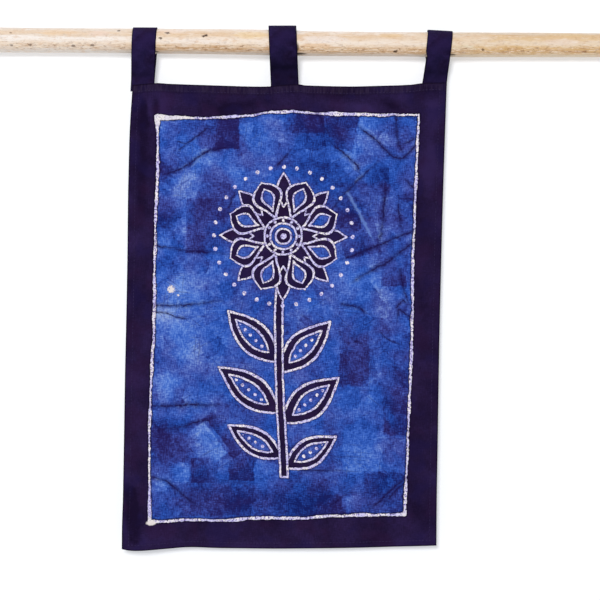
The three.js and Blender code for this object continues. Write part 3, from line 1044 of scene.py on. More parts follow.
# A closed sheet: a grid on its front, one on its back, and four rims that join them.
# Seen from the front, rows run downwards and columns to the right.
def sheetFaces(rowCount, columnCount):
    front = np.arange(rowCount * columnCount).reshape(rowCount, columnCount)
    back = front + rowCount * columnCount

    def quads(*corners):
        return np.stack(corners, axis=-1).reshape(-1, 4)

    return {
        "front": quads(front[:-1, :-1], front[1:, :-1], front[1:, 1:], front[:-1, 1:]),
        "back": quads(back[:-1, :-1], back[:-1, 1:], back[1:, 1:], back[1:, :-1]),
        "left": quads(front[:-1, 0], back[:-1, 0], back[1:, 0], front[1:, 0]),
        "right": quads(front[:-1, -1], front[1:, -1], back[1:, -1], back[:-1, -1]),
        "top": quads(front[0, :-1], front[0, 1:], back[0, 1:], back[0, :-1]),
        "bottom": quads(front[-1, :-1], back[-1, :-1], back[-1, 1:], front[-1, 1:]),
    }


def sheetPiece(name, front, back, material):
    sections = sheetFaces(*front.shape[:2])
    points = np.concatenate([front.reshape(-1, 3), back.reshape(-1, 3)])
    piece = makePiece(name, points, np.concatenate(list(sections.values())).tolist(), material)
    return piece, sections


def storeBoth(piece, name, grid):  # the same numbers on the front of a sheet and on its back
    storeValue(piece, name, np.tile(grid.ravel(), 2))


edgeFullness = 0.9  # how much of the edge's radius is drawn in at the very edge


def roundedEdge(toEdge, radius):  # how far a face draws in near an edge, as the cloth turns over
    share = np.clip(1 - toEdge / radius, 0, 1)
    return radius * edgeFullness * (1 - np.sqrt(1 - share * share))


# The panel

panelSizes = {
    "width": 383,
    "drop": 564,
    "thickness": 0.7,
    "hemExtra": 0.9,
    "hemWidth": 10,
    "hemSlope": 0.6,  # how far the folded hem takes to end
    "cornerExtra": 0.35,
    "edgeRadius": 0.75,
    "step": 2.5,
    "edgePlaces": (0, 0.3, 0.9, 1.8, 3.2, 5, 6.8, 8.4, 9.4, 10, 10.6, 12),
    "stitchIn": 8.4,  # the line of stitches, one of the places above
    "stitchInLow": 6.8,  # and along the bottom
    "troughDepth": 0.35,
    "troughWidth": 1.8,
    "puckerDepth": 0.16,
    "puckerSize": 4.5,
    "puckerReach": 5.0,
    "puckerBack": 0.5,  # the share of it that shows behind
    "unevenness": ((0.30, 28), (0.12, 10)),  # depth and size
    "headingStill": 11,
    "foldsFull": 28,
    "creaseWidth": 10,  # folds narrower than this get painted light on their ridges and painted shade in their troughs
    "creaseLift": 0.28,
    "creaseDark": 0.34,
    "flat": (0.413, 0.595),  # with the hems opened out
}
chartSizes = {  # shares of the square that the panel's bake fills
    "margin": 0.01,
    "width": 0.48,
    "stripPitch": 0.02,
    "stripHeight": 0.012,
}


def panelShares(whole):
    edge = np.array(panelSizes["edgePlaces"], float)
    last = edge[-1]
    count = round((whole - 2 * last) / panelSizes["step"])
    middle = np.linspace(last, whole - last, count + 1)[1:-1]
    return np.concatenate([edge, middle, whole - edge[::-1]]) / whole


def foldDepth(x, z, folds):
    depth = np.zeros_like(x)
    for fold in folds:
        alongX = fold["x1"] - fold["x0"]
        alongZ = fold["z1"] - fold["z0"]
        share = ((x - fold["x0"]) * alongX + (z - fold["z0"]) * alongZ) / (alongX**2 + alongZ**2)
        held = np.clip(share, 0, 1)
        away = np.hypot(x - fold["x0"] - alongX * held, z - fold["z0"] - alongZ * held)
        depth += fold["depth"] * np.exp(-((away / fold["halfWidth"]) ** 2))
    return depth


def chartPanel(piece, sections, across, down):  # front and back side by side, the rims in strips above
    margin = chartSizes["margin"]
    width = chartSizes["width"]
    height = width * panelSizes["drop"] / panelSizes["width"]
    acrossShare, downShare = (grid.ravel() for grid in np.meshgrid(across, down))
    count = len(acrossShare)
    places = []
    for strip, (section, faces) in enumerate(sections.items()):
        corner = faces.ravel()
        own = corner % count
        if section in ("front", "back"):
            start = margin if section == "front" else 1 - margin - width
            u = start + width * acrossShare[own]
            v = margin + height * (1 - downShare[own])
        else:
            along = downShare if section in ("left", "right") else acrossShare
            onBack = corner >= count
            u = margin + (1 - 2 * margin) * along[own]
            v = height + chartSizes["stripPitch"] * (strip + 1) + chartSizes["stripHeight"] * onBack
        places.append(np.stack([u, v], axis=1))
    layer = piece.data.uv_layers.new(name="OFBake")
    layer.data.foreach_set("uv", np.concatenate(places).ravel())


def makePanel():
    sizes = panelSizes
    across = panelShares(sizes["width"])
    down = panelShares(sizes["drop"])
    acrossGrid, downGrid = np.meshgrid(across, down)

    def between(low, high, share):
        return low + (high - low) * share

    startZ = topEdge[0]["z"]
    guessX = between(leftX(startZ), rightX(startZ), acrossGrid)
    guessZ = between(topZ(guessX), bottomZ(guessX), downGrid)
    x = between(leftX(guessZ), rightX(guessZ), acrossGrid)
    z = between(topZ(x), bottomZ(x), downGrid)

    toSide = np.minimum(acrossGrid, 1 - acrossGrid) * sizes["width"]
    belowTop = downGrid * sizes["drop"]
    toFoot = sizes["drop"] - belowTop
    toEdge = np.minimum(toSide, np.minimum(belowTop, toFoot))
    free = smoothStep(belowTop, sizes["headingStill"], sizes["foldsFull"])
    middle = foldDepth(x, z, panelFolds) * free
    # painted light on the ridges of the narrow folds, painted shade in their troughs
    creases = [fold for fold in panelFolds if fold["halfWidth"] < sizes["creaseWidth"]]
    crease = np.maximum(foldDepth(x, z, creases) * free * -sizes["creaseLift"], -sizes["creaseDark"])

    # soft unevenness everywhere, and puckers along the sewn hems
    middle += sum(depth * softNoise(size, x, z) for depth, size in sizes["unevenness"]) * free
    nearHem = np.exp(-((toEdge - sizes["hemWidth"]) / sizes["puckerReach"]) ** 2)
    pucker = softNoise(sizes["puckerSize"], x, z) * sizes["puckerDepth"] * nearHem
    fromStitches = (toEdge - sizes["stitchIn"]) / sizes["troughWidth"]
    trough = sizes["troughDepth"] * np.exp(-fromStitches * fromStitches)
    drawnIn = roundedEdge(toEdge, sizes["edgeRadius"])
    hemEnd = smoothStep(toEdge, sizes["hemWidth"] - sizes["hemSlope"], sizes["hemWidth"])
    inCorner = (toSide < sizes["hemWidth"]) & (toFoot < sizes["hemWidth"])
    hem = sizes["hemExtra"] * (1 - hemEnd) + sizes["cornerExtra"] * inCorner

    frontY = middle - sizes["thickness"] / 2 + trough + pucker + drawnIn
    backY = middle + sizes["thickness"] / 2 + hem + pucker * sizes["puckerBack"] * free - drawnIn
    front = np.stack([x, frontY, z], axis=-1)
    back = np.stack([x, backY, z], axis=-1)
    piece, sections = sheetPiece("cotton_panel", front, back, batikCotton)
    chartPanel(piece, sections, across, down)
    storeValue(piece, "backSide", np.repeat([0.0, 1.0], x.size))
    for name, grid in (("belowTop", belowTop), ("crease", crease), ("toEdge", toEdge)):
        storeBoth(piece, name, grid)
    print("panel:", len(piece.data.vertices), "points")
    return piece, front, back


# The tabs

tabSizes = {
    "thickness": 0.7,
    "gap": 0.2,  # to the rod
    "layerGap": 0.1,  # between the panel's hem and the tails
    "tailLength": 10,
    "throatRise": 2.5,
    "legDrop": 16,
    "tailLead": 11,
    "tailSteps": 6,
    "legSteps": 20,
    "crestSteps": 44,
    "footZ": -48,
    "edgePlaces": (0, 0.15, 0.45, 1.0, 2.0, 3.6),
    "innerColumns": 9,
    "pinchBelow": (9, 17),  # below the rod's axis, where a pinch begins and is full
    "pinchFade": 30,  # and how far above the foot it begins to end
    "freeBelow": (14, 26),  # where the cloth hangs free enough to wave
    "sewnZ": (-50, -44),  # and is held again
    "waveDepth": 0.35,
    "waveSize": 11,
    "waveStretch": 0.6,
    "shadeDrop": 34,  # from the axis to where the foot's shade is full
    "creaseHalf": 3.0,
    "creaseStray": 2,
    "creaseSize": 14,
    "length": 180,  # the finished strip, sewn double, with its two tails
}
fluteReach = sum(flute["share"] for flute in rodFlutes)


def tabRun(tab, share):  # places in Y and Z: up from behind the hem, over the rod and down again
    sizes = tabSizes
    axisY = float(rodY(tab["x"]))
    axisZ = float(rodZ(tab["x"]))
    reachY = float(rodRadius(tab["x"])) * (1 + fluteReach) + sizes["gap"] + sizes["thickness"] / 2
    reachZ = reachY + tab["slackLeft"] + (tab["slackRight"] - tab["slackLeft"]) * share
    footX = tab["x"] + math.tan(math.radians(tab["lean"])) * sizes["footZ"]
    underFoot = topZ(np.array([footX - tab["foot"] / 2, footX, footX + tab["foot"] / 2]))
    throatZ = float(underFoot.max()) + sizes["throatRise"]
    hemBack = panelSizes["thickness"] / 2 + panelSizes["hemExtra"]
    frontTailY = hemBack + sizes["layerGap"] + sizes["thickness"] / 2
    backTailY = frontTailY + sizes["thickness"] + sizes["layerGap"]

    def leg(startY, endY):  # a Bezier curve from beside the rod down to the throat
        t = np.linspace(0, 1, sizes["legSteps"] + 1)[:, None]
        held = [
            (startY, axisZ),
            (startY, axisZ - sizes["legDrop"]),
            (endY, throatZ + sizes["tailLead"]),
            (endY, throatZ),
        ]
        a, b, c, d = (np.array(point) for point in held)
        return a * (1 - t) ** 3 + 3 * b * t * (1 - t) ** 2 + 3 * c * t * t * (1 - t) + d * t**3

    drop = np.linspace(0, sizes["throatRise"] + sizes["tailLength"], sizes["tailSteps"] + 1)[1:]
    turn = np.linspace(0, math.pi, sizes["crestSteps"] + 1)
    frontTail = np.stack([np.full_like(drop, frontTailY), throatZ - drop], axis=1)[::-1]
    backTail = np.stack([np.full_like(drop, backTailY), throatZ - drop], axis=1)
    crest = np.stack([axisY - reachY * np.cos(turn), axisZ + reachZ * np.sin(turn)], axis=1)
    frontLeg = leg(axisY - reachY, frontTailY)[::-1]
    backLeg = leg(axisY + reachY, backTailY)
    return np.concatenate([frontTail, frontLeg[:-1], crest, backLeg[1:], backTail])


def makeTab(tab):
    sizes = tabSizes
    edge = np.array(sizes["edgePlaces"])
    last = edge[-1]
    middle = np.linspace(last, tab["width"] - last, sizes["innerColumns"])[1:-1]
    fromLeft = np.concatenate([edge, middle, tab["width"] - edge[::-1]])
    share = fromLeft / tab["width"]
    run = np.stack([tabRun(tab, s) for s in share], axis=1)[::-1]  # rows from the back tail to the front
    runY = run[:, :, 0]
    runZ = run[:, :, 1]
    along = np.gradient(run, axis=0)
    along /= np.linalg.norm(along, axis=2, keepdims=True)
    width = tab["width"] + (tab["foot"] - tab["width"]) * np.clip(runZ / sizes["footZ"], 0, 1)
    lean = math.tan(math.radians(tab["lean"]))
    x = tab["x"] + lean * runZ + width * (share - 0.5)
    pinchEnd = np.clip((runZ - sizes["footZ"]) / sizes["pinchFade"], 0, 1)
    x += tab["pinch"] * smoothStep(-runZ, *sizes["pinchBelow"]) * pinchEnd * (1 - share)

    # the cloth waves a little where it hangs free of the rod
    rowCount = run.shape[0]
    alongRun = np.concatenate([[0], np.cumsum(np.linalg.norm(np.diff(run[:, 0], axis=0), axis=1))])
    rowGrid = np.repeat(alongRun[:, None], len(share), axis=1)
    hanging = smoothStep(-runZ, *sizes["freeBelow"]) * smoothStep(runZ, *sizes["sewnZ"])
    wave = sizes["waveDepth"] * softNoise(sizes["waveSize"], x, rowGrid * sizes["waveStretch"]) * hanging
    toEdge = np.minimum(fromLeft, tab["width"] - fromLeft)[None, :] + np.zeros((rowCount, 1))
    half = sizes["thickness"] / 2 - roundedEdge(toEdge, sizes["thickness"] / 2)

    def face(side):
        y = runY + along[:, :, 1] * (side * half + wave)
        z = runZ - along[:, :, 0] * (side * half + wave)
        return np.stack([x, y, z], axis=-1)

    piece, sections = sheetPiece(tab["name"] + "_cloth", face(1), face(-1), navyCotton)
    # painted shade: from the crest down the legs, and in a crease near the foot
    deep = tab["deepCrest"] + (tab["deepFoot"] - tab["deepCrest"]) * smoothStep(-runZ, 0, sizes["shadeDrop"])
    creased = runZ - tab["creaseZ"] + sizes["creaseStray"] * softNoise(sizes["creaseSize"], x, rowGrid)
    deep += tab["creaseDeep"] * np.exp(-((creased / sizes["creaseHalf"]) ** 2))
    storeBoth(piece, "toEdge", toEdge)
    storeBoth(piece, "deep", deep)
    corner = np.concatenate(list(sections.values())).ravel() % rowGrid.size
    flat = np.stack([np.tile(fromLeft, rowCount)[corner], rowGrid.ravel()[corner]], axis=1) * mm
    piece.data.uv_layers.new(name="weave").data.foreach_set("uv", flat.ravel())
    print(tab["name"] + ":", len(piece.data.vertices), "points,", round(float(alongRun[-1])), "mm long")
    return piece


# The rod

rodSizes = {
    "halfLength": 392,
    "sides": 72,
    "ringStep": 1.9,
    "grainDepth": 0.14,
    "grain": ((1.0, 26, 2.6), (0.6, 9, 6)),  # strength, length and width of the raised fibres
    "rimRadius": 1.2,
    "rimSteps": 3,
    "rimShare": 15.5,  # the radius that the rim is a share of
    "capRings": 7,
    "specular": 0.2,
    "roughness": (0.55, 0.75),
    "bump": 0.4,
    "bumpDepth": 0.4,
    "barkX": (-230, -120),  # between these, more and more bark is left
    "pitReach": 1.6,
    "pitStretch": 1.5,
    "yearTurn": 3.4,  # how close the rings of the sawn ends lie
}
woodShades = {
    "bark": (204, 160, 114),
    "tan": (222, 186, 152),
    "pale": (246, 236, 228),
    "fibre": (190, 146, 106),
    "speck": (142, 100, 68),
    "chalk": (250, 232, 208),
    "hole": (54, 28, 16),
    "dirt": (40, 28, 26),
    "sawn": (232, 210, 178),
    "sawnRing": (206, 172, 132),
}
wood = {name: dye(*shade) for name, shade in woodShades.items()}
woodFlakes = rowsOf(  # streaks of grain, and the levels of noise where they begin and are full
    "shade length width detail rough none full share underOnly",
    ("tan", 8, 2.8, 3, 0.68, 0.5, 0.7, 0.6, False),
    ("pale", 14, 2.0, 4, 0.68, 0.53, 0.68, 0.5, False),
    ("fibre", 18, 1.7, 3, 0.66, 0.52, 0.64, 0.6, True),
    ("speck", 6.0, 2.3, 4, 0.74, 0.53, 0.65, 0.85, True),
    ("chalk", 9.0, 2.0, 4, 0.74, 0.47, 0.36, 0.9, True),
)
woodColourAndLight = [  # shades from the underside over the front to the top, and where each later set takes over; besides the wood's own colour they hold painted light: the lightest band across the front is a painted highlight, the light lower and upper rims painted reflected light
    {
        "shades": [
            (0.04, (232, 224, 216)), (0.2, (236, 221, 206)), (0.34, (241, 223, 205)),
            (0.46, (242, 231, 221)), (0.57, (245, 237, 230)), (0.66, (228, 211, 194)),
            (0.78, (231, 206, 180)), (0.95, (230, 218, 207)),
        ],
    },
    {
        "begins": (-225, -165),
        "shades": [
            (0.04, (226, 210, 194)), (0.16, (224, 190, 155)), (0.26, (236, 209, 179)),
            (0.36, (241, 223, 204)), (0.46, (241, 226, 212)), (0.56, (238, 221, 204)),
            (0.66, (230, 205, 179)), (0.74, (225, 196, 165)), (0.83, (232, 209, 187)),
            (0.95, (236, 224, 214)),
        ],
    },
    {
        "begins": (110, 230),
        "shades": [
            (0.04, (222, 204, 178)), (0.16, (218, 182, 132)), (0.3, (226, 190, 141)),
            (0.44, (234, 213, 186)), (0.55, (230, 209, 184)), (0.66, (226, 197, 158)),
            (0.78, (219, 186, 145)), (0.95, (220, 204, 186)),
        ],
    },
]
rodPatches = rowsOf(  # broad tints of the peeled wood, in the photograph's pixels and millimetres
    "x y wide high share colour",
    (58, 33, 30, 6, 0.5, (234, 200, 162)),
    (100, 34.5, 16, 6, 0.5, (240, 212, 198)),
    (20, 39, 40, 5, 0.5, (246, 238, 232)),
    (112, 45.5, 20, 5, 0.5, (238, 220, 206)),
    (190, 43, 46, 6, 0.4, (241, 231, 224)),
    (165, 32, 30, 5, 0.45, (240, 218, 206)),
    (252, 36.5, 26, 7, 0.5, (238, 208, 156)),
    (220, 49, 12, 4, 0.7, (196, 152, 106)),
    (325, 40.5, 36, 6, 0.6, (240, 230, 226)),
    (314, 48, 28, 5, 0.6, (228, 186, 140)),
    (390, 36.5, 20, 5, 0.55, (232, 198, 150)),
    (416, 39, 22, 8, 0.45, (238, 222, 206)),
    (474, 38, 34, 8, 0.4, (236, 220, 206)),
    (464, 50, 22, 7, 0.65, (226, 214, 190)),
    (566, 36, 32, 6, 0.5, (224, 190, 134)),
    (560, 43.5, 26, 5, 0.45, (236, 216, 204)),
    (510, 50, 22, 6, 0.5, (208, 166, 104)),
    (580, 51, 18, 6, 0.5, (206, 166, 108)),
)
rodPits = rowsOf(  # small holes in the photograph's pixels, their size, depth and how dark their painted shade is
    "x y radius depth dark",
    (13, 46.5, 1.3, 0.5, 0.6),
    (31.5, 46.3, 1.3, 0.5, 0.6),
    (74.5, 47, 1.4, 0.5, 0.65),
    (93, 46.7, 1.4, 0.5, 0.65),
    (119.5, 31.4, 1.3, 0.4, 0.8),
    (168, 34, 1.7, 0.7, 0.9),
    (161.5, 39.6, 1.5, 0.5, 0.8),
    (203.5, 37.5, 1.4, 0.5, 0.9),
    (206.5, 36.6, 1.5, 0.5, 0.9),
    (395, 52.6, 1.6, 0.5, 0.9),
    (482, 51, 1.3, 0.4, 0.7),
    (12, 34, 1.0, 0.3, 0.5),
)
rodTabShadows = rowsOf(  # painted shadows of the tabs on the rod, in the same way
    "x y wide high dark",
    (298, 54.5, 14, 3.4, 0.9),
    (297, 49.0, 3.6, 8.0, 0.8),
    (157, 52.5, 4.0, 2.6, 0.8),
    (452, 55.5, 6.0, 2.4, 0.75),
    (427, 55.5, 4.0, 2.4, 0.6),
)


def pitPlace(pit):  # a row's middle on the rod's front
    x, z = onCloth(pit["x"], pit["y"])
    radius = float(rodRadius(x))
    lift = float(np.clip((z - rodZ(x)) / radius, -0.98, 0.98))
    angle = math.pi - math.asin(lift)
    return x, float(rodY(x)) + radius * math.cos(angle), float(rodZ(x)) + radius * math.sin(angle)


def makePeeledWood():
    material, w, shader = newMaterial("peeledWood", rodSizes["specular"])
    place = w.objectPlace()
    x = w.split(place)[0]

    def grain(length, width, detail, rough=0.55):
        stretched = w.vectorCalc("MULTIPLY", place, (1 / length, 1 / width, 1 / width))
        return w.noise(stretched, 1, detail, rough, flat=False)

    def spotOf(row, wide, high):
        return w.spot(place, pitPlace(row), (wide, high, high))

    facing = w.attribute("turnUp")
    waver = w.minus(grain(30, 7, 4, 0.64), 0.5)
    level = w.step(w.timesPlus(waver, 0.9, facing), -1, 1, kind="LINEAR")
    # the wood's colour by how the rod turns up, with its painted highlight and painted reflected light
    colour = None
    for palette in woodColourAndLight:
        shades = w.ramp(level, *[(stop, dye(*shade)) for stop, shade in palette["shades"]])
        colour = w.mix(w.step(x, *palette["begins"]), colour, shades) if colour else shades

    for patch in rodPatches:
        tint = spotOf(patch, patch["wide"], patch["high"])
        torn = w.timesPlus(waver, 1.4, tint)
        share = w.times(w.step(torn, 0.05, 0.5, 0, patch["share"]), w.step(tint, 0.0, 0.2))
        colour = w.mix(share, colour, dye(*patch["colour"]))

    # bark left on the lower side, then flakes and fibres, painted shade in the holes and painted shadows of
    # the tabs
    low = w.times(w.step(facing, -0.26, -0.55), w.step(facing, -0.92, -0.7, 0.1, 1))
    bark = w.times(low, w.step(grain(24, 2.6, 4, 0.66), 0.42, 0.6))
    bark = w.times(bark, w.step(x, *rodSizes["barkX"], 0.4, 0.8))
    colour = w.mix(bark, colour, wood["bark"])
    under = w.times(w.step(facing, -0.05, -0.6, 0.25, 1.0), w.step(facing, -0.95, -0.65, 0.2, 1.0))
    for flake in woodFlakes:
        fibres = grain(flake["length"], flake["width"], flake["detail"], flake["rough"])
        share = w.step(fibres, flake["none"], flake["full"], 0, flake["share"])
        if flake["underOnly"]:
            share = w.times(share, under)
        colour = w.mix(share, colour, wood[flake["shade"]])
    # painted shade inside the pits
    for pit in rodPits:
        reach = pit["radius"] * rodSizes["pitReach"]
        hole = spotOf(pit, reach * rodSizes["pitStretch"], reach)
        ragged = w.timesPlus(w.minus(grain(2.5, 1.6, 1, 0.5), 0.5), 1.2, hole)
        share = w.times(w.step(ragged, 0.1, 0.6, 0, pit["dark"]), w.step(hole, 0.0, 0.1))
        colour = w.mix(share, colour, wood["hole"])
    for shadowRow in rodTabShadows:
        rubbed = spotOf(shadowRow, shadowRow["wide"], shadowRow["high"])
        colour = w.mix(w.step(rubbed, 0.0, 0.7, 0, shadowRow["dark"]), colour, wood["dirt"])
    fromHeart = w.times(w.length(w.vectorCalc("MULTIPLY", place, (0, 1, 1))), rodSizes["yearTurn"])
    years = w.calc("SINE", w.timesPlus(grain(400, 9, 2), 5.0, fromHeart))
    sawn = w.mix(w.step(years, -0.4, 0.9), wood["sawn"], wood["sawnRing"])
    w.feed(shader.inputs["Base Color"], w.mix(w.attribute("cutEnd"), colour, sawn))
    w.feed(shader.inputs["Roughness"], w.step(grain(60, 4, 2), 0.3, 0.7, *rodSizes["roughness"]))
    addBump(w, shader, grain(45, 1.6, 4, 0.6), rodSizes["bump"], rodSizes["bumpDepth"])
    return material


def makeRod():
    sizes = rodSizes
    half = sizes["halfLength"]
    rim = sizes["rimRadius"]
    sideCount = sizes["sides"]
    ringCount = round(2 * (half - rim) / sizes["ringStep"]) + 1
    x = np.linspace(-half + rim, half - rim, ringCount)[:, None]
    angle = np.linspace(0, 2 * math.pi, sideCount, endpoint=False)[None, :]
    share = np.ones((ringCount, sideCount))
    for flute in rodFlutes:
        share += flute["share"] * np.sin(flute["count"] * angle + flute["start"] + flute["turnPerMm"] * x)
    radius = rodRadius(x) * share
    y = rodY(x) + radius * np.cos(angle)
    z = rodZ(x) + radius * np.sin(angle)
    grain = 0
    for strength, length, width in sizes["grain"]:
        grain = grain + strength * softNoise(1.0, x / length, y / width, z / width)
    away = grain * sizes["grainDepth"] - sizes["grainDepth"]
    for pit in rodPits:
        pitX, pitY, pitZ = pitPlace(pit)
        distance = np.sqrt((x - pitX) ** 2 + (y - pitY) ** 2 + (z - pitZ) ** 2)
        away -= pit["depth"] * np.exp(-((distance / pit["radius"]) ** 2))
    y = y + away * np.cos(angle)
    z = z + away * np.sin(angle)
    body = np.stack([x + 0 * y, y, z], axis=-1)

    # rounded rims and sawn ends, drawn in ring by ring to the heart
    rings = list(body)
    for end, first in ((-1, body[0]), (1, body[-1])):
        heart = first.mean(axis=0)
        caps = []
        for turn in np.linspace(0, math.pi / 2, sizes["rimSteps"] + 1)[1:]:
            ring = heart + (first - heart) * (1 - rim / sizes["rimShare"] * (1 - math.cos(turn)))
            ring[:, 0] = first[:, 0] + end * rim * math.sin(turn)
            caps.append(ring)
        flatRing = caps[-1]
        heart = flatRing.mean(axis=0)
        for pull in np.linspace(1, 0, sizes["capRings"] + 1)[1:-1]:
            caps.append(heart + (flatRing - heart) * pull)
        rings = caps[::-1] + rings if end < 0 else rings + caps
    total = len(rings)
    startHeart = total * sideCount
    number = np.arange(startHeart).reshape(total, sideCount)
    following = np.roll(number, -1, axis=1)
    walls = np.stack([number[:-1], following[:-1], following[1:], number[1:]], axis=-1).reshape(-1, 4)
    hearts = np.stack([rings[0].mean(axis=0), rings[-1].mean(axis=0)])
    faces = walls.tolist()
    for side in range(sideCount):
        faces.append([startHeart, int(following[0, side]), int(number[0, side])])
        faces.append([startHeart + 1, int(number[-1, side]), int(following[-1, side])])
    piece = makePiece("peeled_rod", np.concatenate([*rings, hearts]), faces, makePeeledWood())
    capCount = sizes["capRings"] - 1
    onCap = np.zeros(total)
    onCap[:capCount] = 1
    onCap[-capCount:] = 1
    storeValue(piece, "turnUp", np.concatenate([np.tile(np.sin(angle[0]), total), [0, 0]]))
    storeValue(piece, "cutEnd", np.concatenate([np.repeat(onCap, sideCount), [1, 1]]))
    print("rod:", len(piece.data.vertices), "points")
    return piece


# The sewing: a running stitch laid along lines by Geometry Nodes

stitchSizes = {
    "pitch": 4.0,
    "length": 2.9,
    "thickness": 0.46,
    "tilt": 0.09,  # radians either way
    "seed": 11,
    "beadSides": 6,
    "beadRings": 5,
    "lift": 0.12,  # above the cloth
}


def makeStitchTree():
    tree = bpy.data.node_groups.new("runningStitch", "GeometryNodeTree")
    inputs = dict.fromkeys(("Pitch", "Stitch length", "Thread thickness", "Tilt"), "Float")
    for label, kind in {"Geometry": "Geometry", **inputs, "Seed": "Int"}.items():
        tree.interface.new_socket(label, in_out="INPUT", socket_type="NodeSocket" + kind)
    tree.interface.new_socket("Geometry", in_out="OUTPUT", socket_type="NodeSocketGeometry")
    w = Wiring(tree)

    def added(kind, values, **settings):
        return w.labelled(kind, values, **settings).outputs[0]

    given = w.node("NodeGroupInput").outputs
    curve = w.filled("GeometryNodeMeshToCurve", [given["Geometry"]]).outputs[0]
    spaced = added("GeometryNodeResampleCurve", {"Curve": curve, "Length": given["Pitch"]}, mode="LENGTH")
    bead = w.filled("GeometryNodeMeshUVSphere", [stitchSizes["beadSides"], stitchSizes["beadRings"], 0.5])
    size = w.join(given["Stitch length"], given["Thread thickness"], given["Thread thickness"])
    stitch = added("GeometryNodeTransform", {"Geometry": bead.outputs["Mesh"], "Scale": size})
    tangent = w.node("GeometryNodeInputTangent").outputs[0]
    lie = added("FunctionNodeAlignRotationToVector", {"Vector": tangent}, axis="X")
    eitherWay = {"Min": (-1, -1, -1), "Max": (1, 1, 1), "Seed": given["Seed"]}
    chance = added("FunctionNodeRandomValue", eitherWay, data_type="FLOAT_VECTOR")
    askew = w.filled("FunctionNodeEulerToRotation", [w.scaled(chance, given["Tilt"])]).outputs[0]
    turned = w.filled("FunctionNodeRotateRotation", [lie, askew], rotation_space="LOCAL").outputs[0]
    laid = added("GeometryNodeInstanceOnPoints", {"Points": spaced, "Instance": stitch, "Rotation": turned})
    real = w.filled("GeometryNodeRealizeInstances", [laid]).outputs[0]
    dressed = added("GeometryNodeSetMaterial", {"Geometry": real, "Material": hemThread})
    w.feed(w.node("NodeGroupOutput").inputs[0], dressed)
    return tree


def sewLines(name, lines, tree):  # lines are arrays of places in millimetres
    points = []
    edges = []
    for line in lines:
        start = len(points)
        points.extend((line * mm).tolist())
        edges.extend((i, i + 1) for i in range(start, len(points) - 1))
    mesh = bpy.data.meshes.new(name)
    mesh.from_pydata(points, edges, [])
    piece = newObject(name, mesh)
    modifier = piece.modifiers.new("stitches", "NODES")
    modifier.node_group = tree
    values = {
        "Pitch": stitchSizes["pitch"] * mm,
        "Stitch length": stitchSizes["length"] * mm,
        "Thread thickness": stitchSizes["thickness"] * mm,
        "Tilt": stitchSizes["tilt"],
        "Seed": stitchSizes["seed"],
    }
    for item in tree.interface.items_tree:
        if item.in_out == "INPUT" and item.name in values:
            modifier[item.identifier] = values[item.name]
    graph = bpy.context.evaluated_depsgraph_get()
    sewn = bpy.data.meshes.new_from_object(piece.evaluated_get(graph))
    piece.modifiers.clear()
    piece.data = sewn
    sewn.shade_smooth()
    print(name + ":", len(sewn.vertices), "points")
    return piece


def hemLines(front, back):
    side = panelSizes["edgePlaces"].index(panelSizes["stitchIn"])
    low = panelSizes["edgePlaces"].index(panelSizes["stitchInLow"])
    lift = np.array([0, stitchSizes["lift"], 0])
    lines = []
    for grid, outward in ((front, -1), (back, 1)):
        shown = grid + lift * outward
        lines.append(shown[side:-low, side])
        lines.append(shown[side:-low, -1 - side])
        lines.append(shown[-1 - low, side:-side])
        lines.append(shown[side, side:-side])
    return lines


# Build the pieces

panel, panelFront, panelBack = makePanel()
tabs = {tab["name"]: makeTab(tab) for tab in tabTable}
rod = makeRod()
stitchTree = makeStitchTree()
hemStitches = sewLines("hem_stitches", hemLines(panelFront, panelBack), stitchTree)

for piece in (panel, hemStitches, rod, *tabs.values()):
    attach(piece, "root")
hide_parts("panel")
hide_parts("rod")
for tab in tabTable:
    piece = tabs[tab["name"]]
    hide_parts(tab["name"])
print("pieces: ride on root")


# Stage, light and camera

stageSizes = {
    "wallY": 17.6,  # just behind the rod
    "wallHalf": 1600,
    "wallColour": (0.555, 0.56, 0.57, 1),
    "wallGlow": 0.42,
    "wallBounce": 0.6,  # what it gives to the light on the cloth besides
    "glowColour": (0.975, 1, 1.03, 1),
    "floorZ": -1150,
    "floorHalf": 2600,
    "floorColour": (0.8, 0.8, 0.8, 1),
}


def makeStageMaterial(name, colour, glow=0.0, bounce=0.0):  # seen only from its front
    material, w, shader = newMaterial(name, 0.0)
    shader.inputs["Base Color"].default_value = colour
    shader.inputs["Emission Color"].default_value = stageSizes["glowColour"]
    lighting = w.node("ShaderNodeLightPath").outputs["Is Diffuse Ray"]
    w.feed(shader.inputs["Emission Strength"], w.step(lighting, 0, 1, glow, glow + bounce, kind="LINEAR"))
    clear = w.node("ShaderNodeBsdfTransparent")
    fromBehind = w.node("ShaderNodeNewGeometry").outputs["Backfacing"]
    both = w.filled("ShaderNodeMixShader", [fromBehind, shader.outputs[0], clear.outputs[0]])
    w.feed(material.node_tree.nodes["Material Output"].inputs["Surface"], both.outputs[0])
    return material


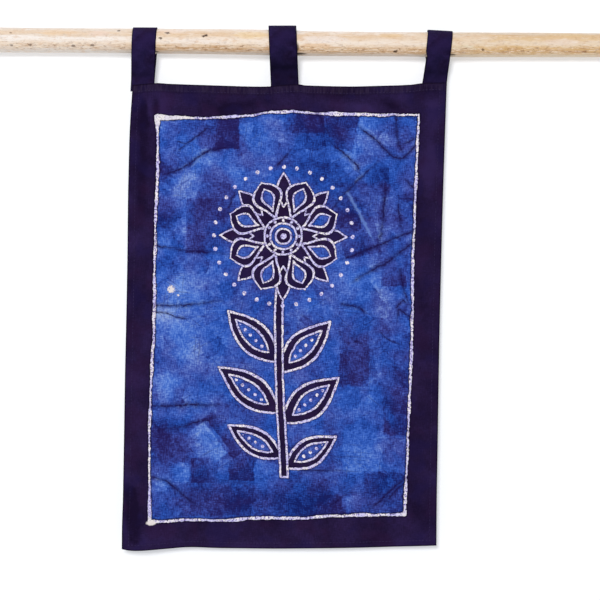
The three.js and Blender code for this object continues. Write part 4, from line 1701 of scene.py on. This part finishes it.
def makeStage():
    sizes = stageSizes
    square = np.array([(-1, -1), (1, -1), (1, 1), (-1, 1)], float)
    face = [(0, 1, 2, 3)]
    white = makeStageMaterial("whiteWall", sizes["wallColour"], sizes["wallGlow"], sizes["wallBounce"])
    upright = np.insert(square * sizes["wallHalf"], 1, sizes["wallY"], axis=1)
    wall = makePiece("stage_wall", upright, face, white)
    level = np.insert(square * sizes["floorHalf"], 2, sizes["floorZ"], axis=1)
    floor = makePiece("stage_floor", level, face, makeStageMaterial("paleFloor", sizes["floorColour"]))
    floor.visible_diffuse = False
    for piece in (wall, floor):
        piece.visible_shadow = False


studioLight = {
    "ambient": 0.5,
    "background": 0.9,  # as the camera sees it
    "keyPlace": (-0.75, -5.0, 0.9),
    "keyAim": (0.0, 0.0, -0.31),
    "keySize": 1.1,
    "keyPower": 196,
}


def makeLight():
    world = bpy.data.worlds.new("studio")
    world.use_nodes = True
    w = Wiring(world.node_tree)
    ground = world.node_tree.nodes["Background"]
    seen = w.node("ShaderNodeLightPath").outputs["Is Camera Ray"]
    shade = w.step(seen, 0, 1, studioLight["ambient"], studioLight["background"], kind="LINEAR")
    ground.inputs["Color"].default_value = (1, 1, 1, 1)
    w.feed(ground.inputs["Strength"], shade)
    bpy.context.scene.world = world
    key = bpy.data.lights.new("key", "AREA")
    key.energy = studioLight["keyPower"]
    key.size = studioLight["keySize"]
    lamp = newObject("key", key)
    lamp.location = studioLight["keyPlace"]
    aim = Vector(studioLight["keyAim"]) - lamp.location
    lamp.rotation_euler = aim.to_track_quat("-Z", "Y").to_euler()


def makeCamera():
    camera = bpy.data.cameras.new("camera")
    frameWidth = photoView["size"] * photoView["scale"]
    camera.sensor_width = photoView["sensor"]
    camera.lens = camera.sensor_width * photoView["distance"] / frameWidth
    camera.clip_end = photoView["farthest"]
    seen = newObject("camera", camera)
    seen.location = (photoView["centreX"] * mm, -photoView["distance"] * mm, photoView["centreZ"] * mm)
    seen.rotation_euler = (math.pi / 2, -math.radians(photoView["roll"]), 0)
    bpy.context.scene.camera = seen
    bpy.context.scene.view_settings.view_transform = "Standard"


makeStage()
makeLight()
makeCamera()
print("stage: wall, floor, light and camera")
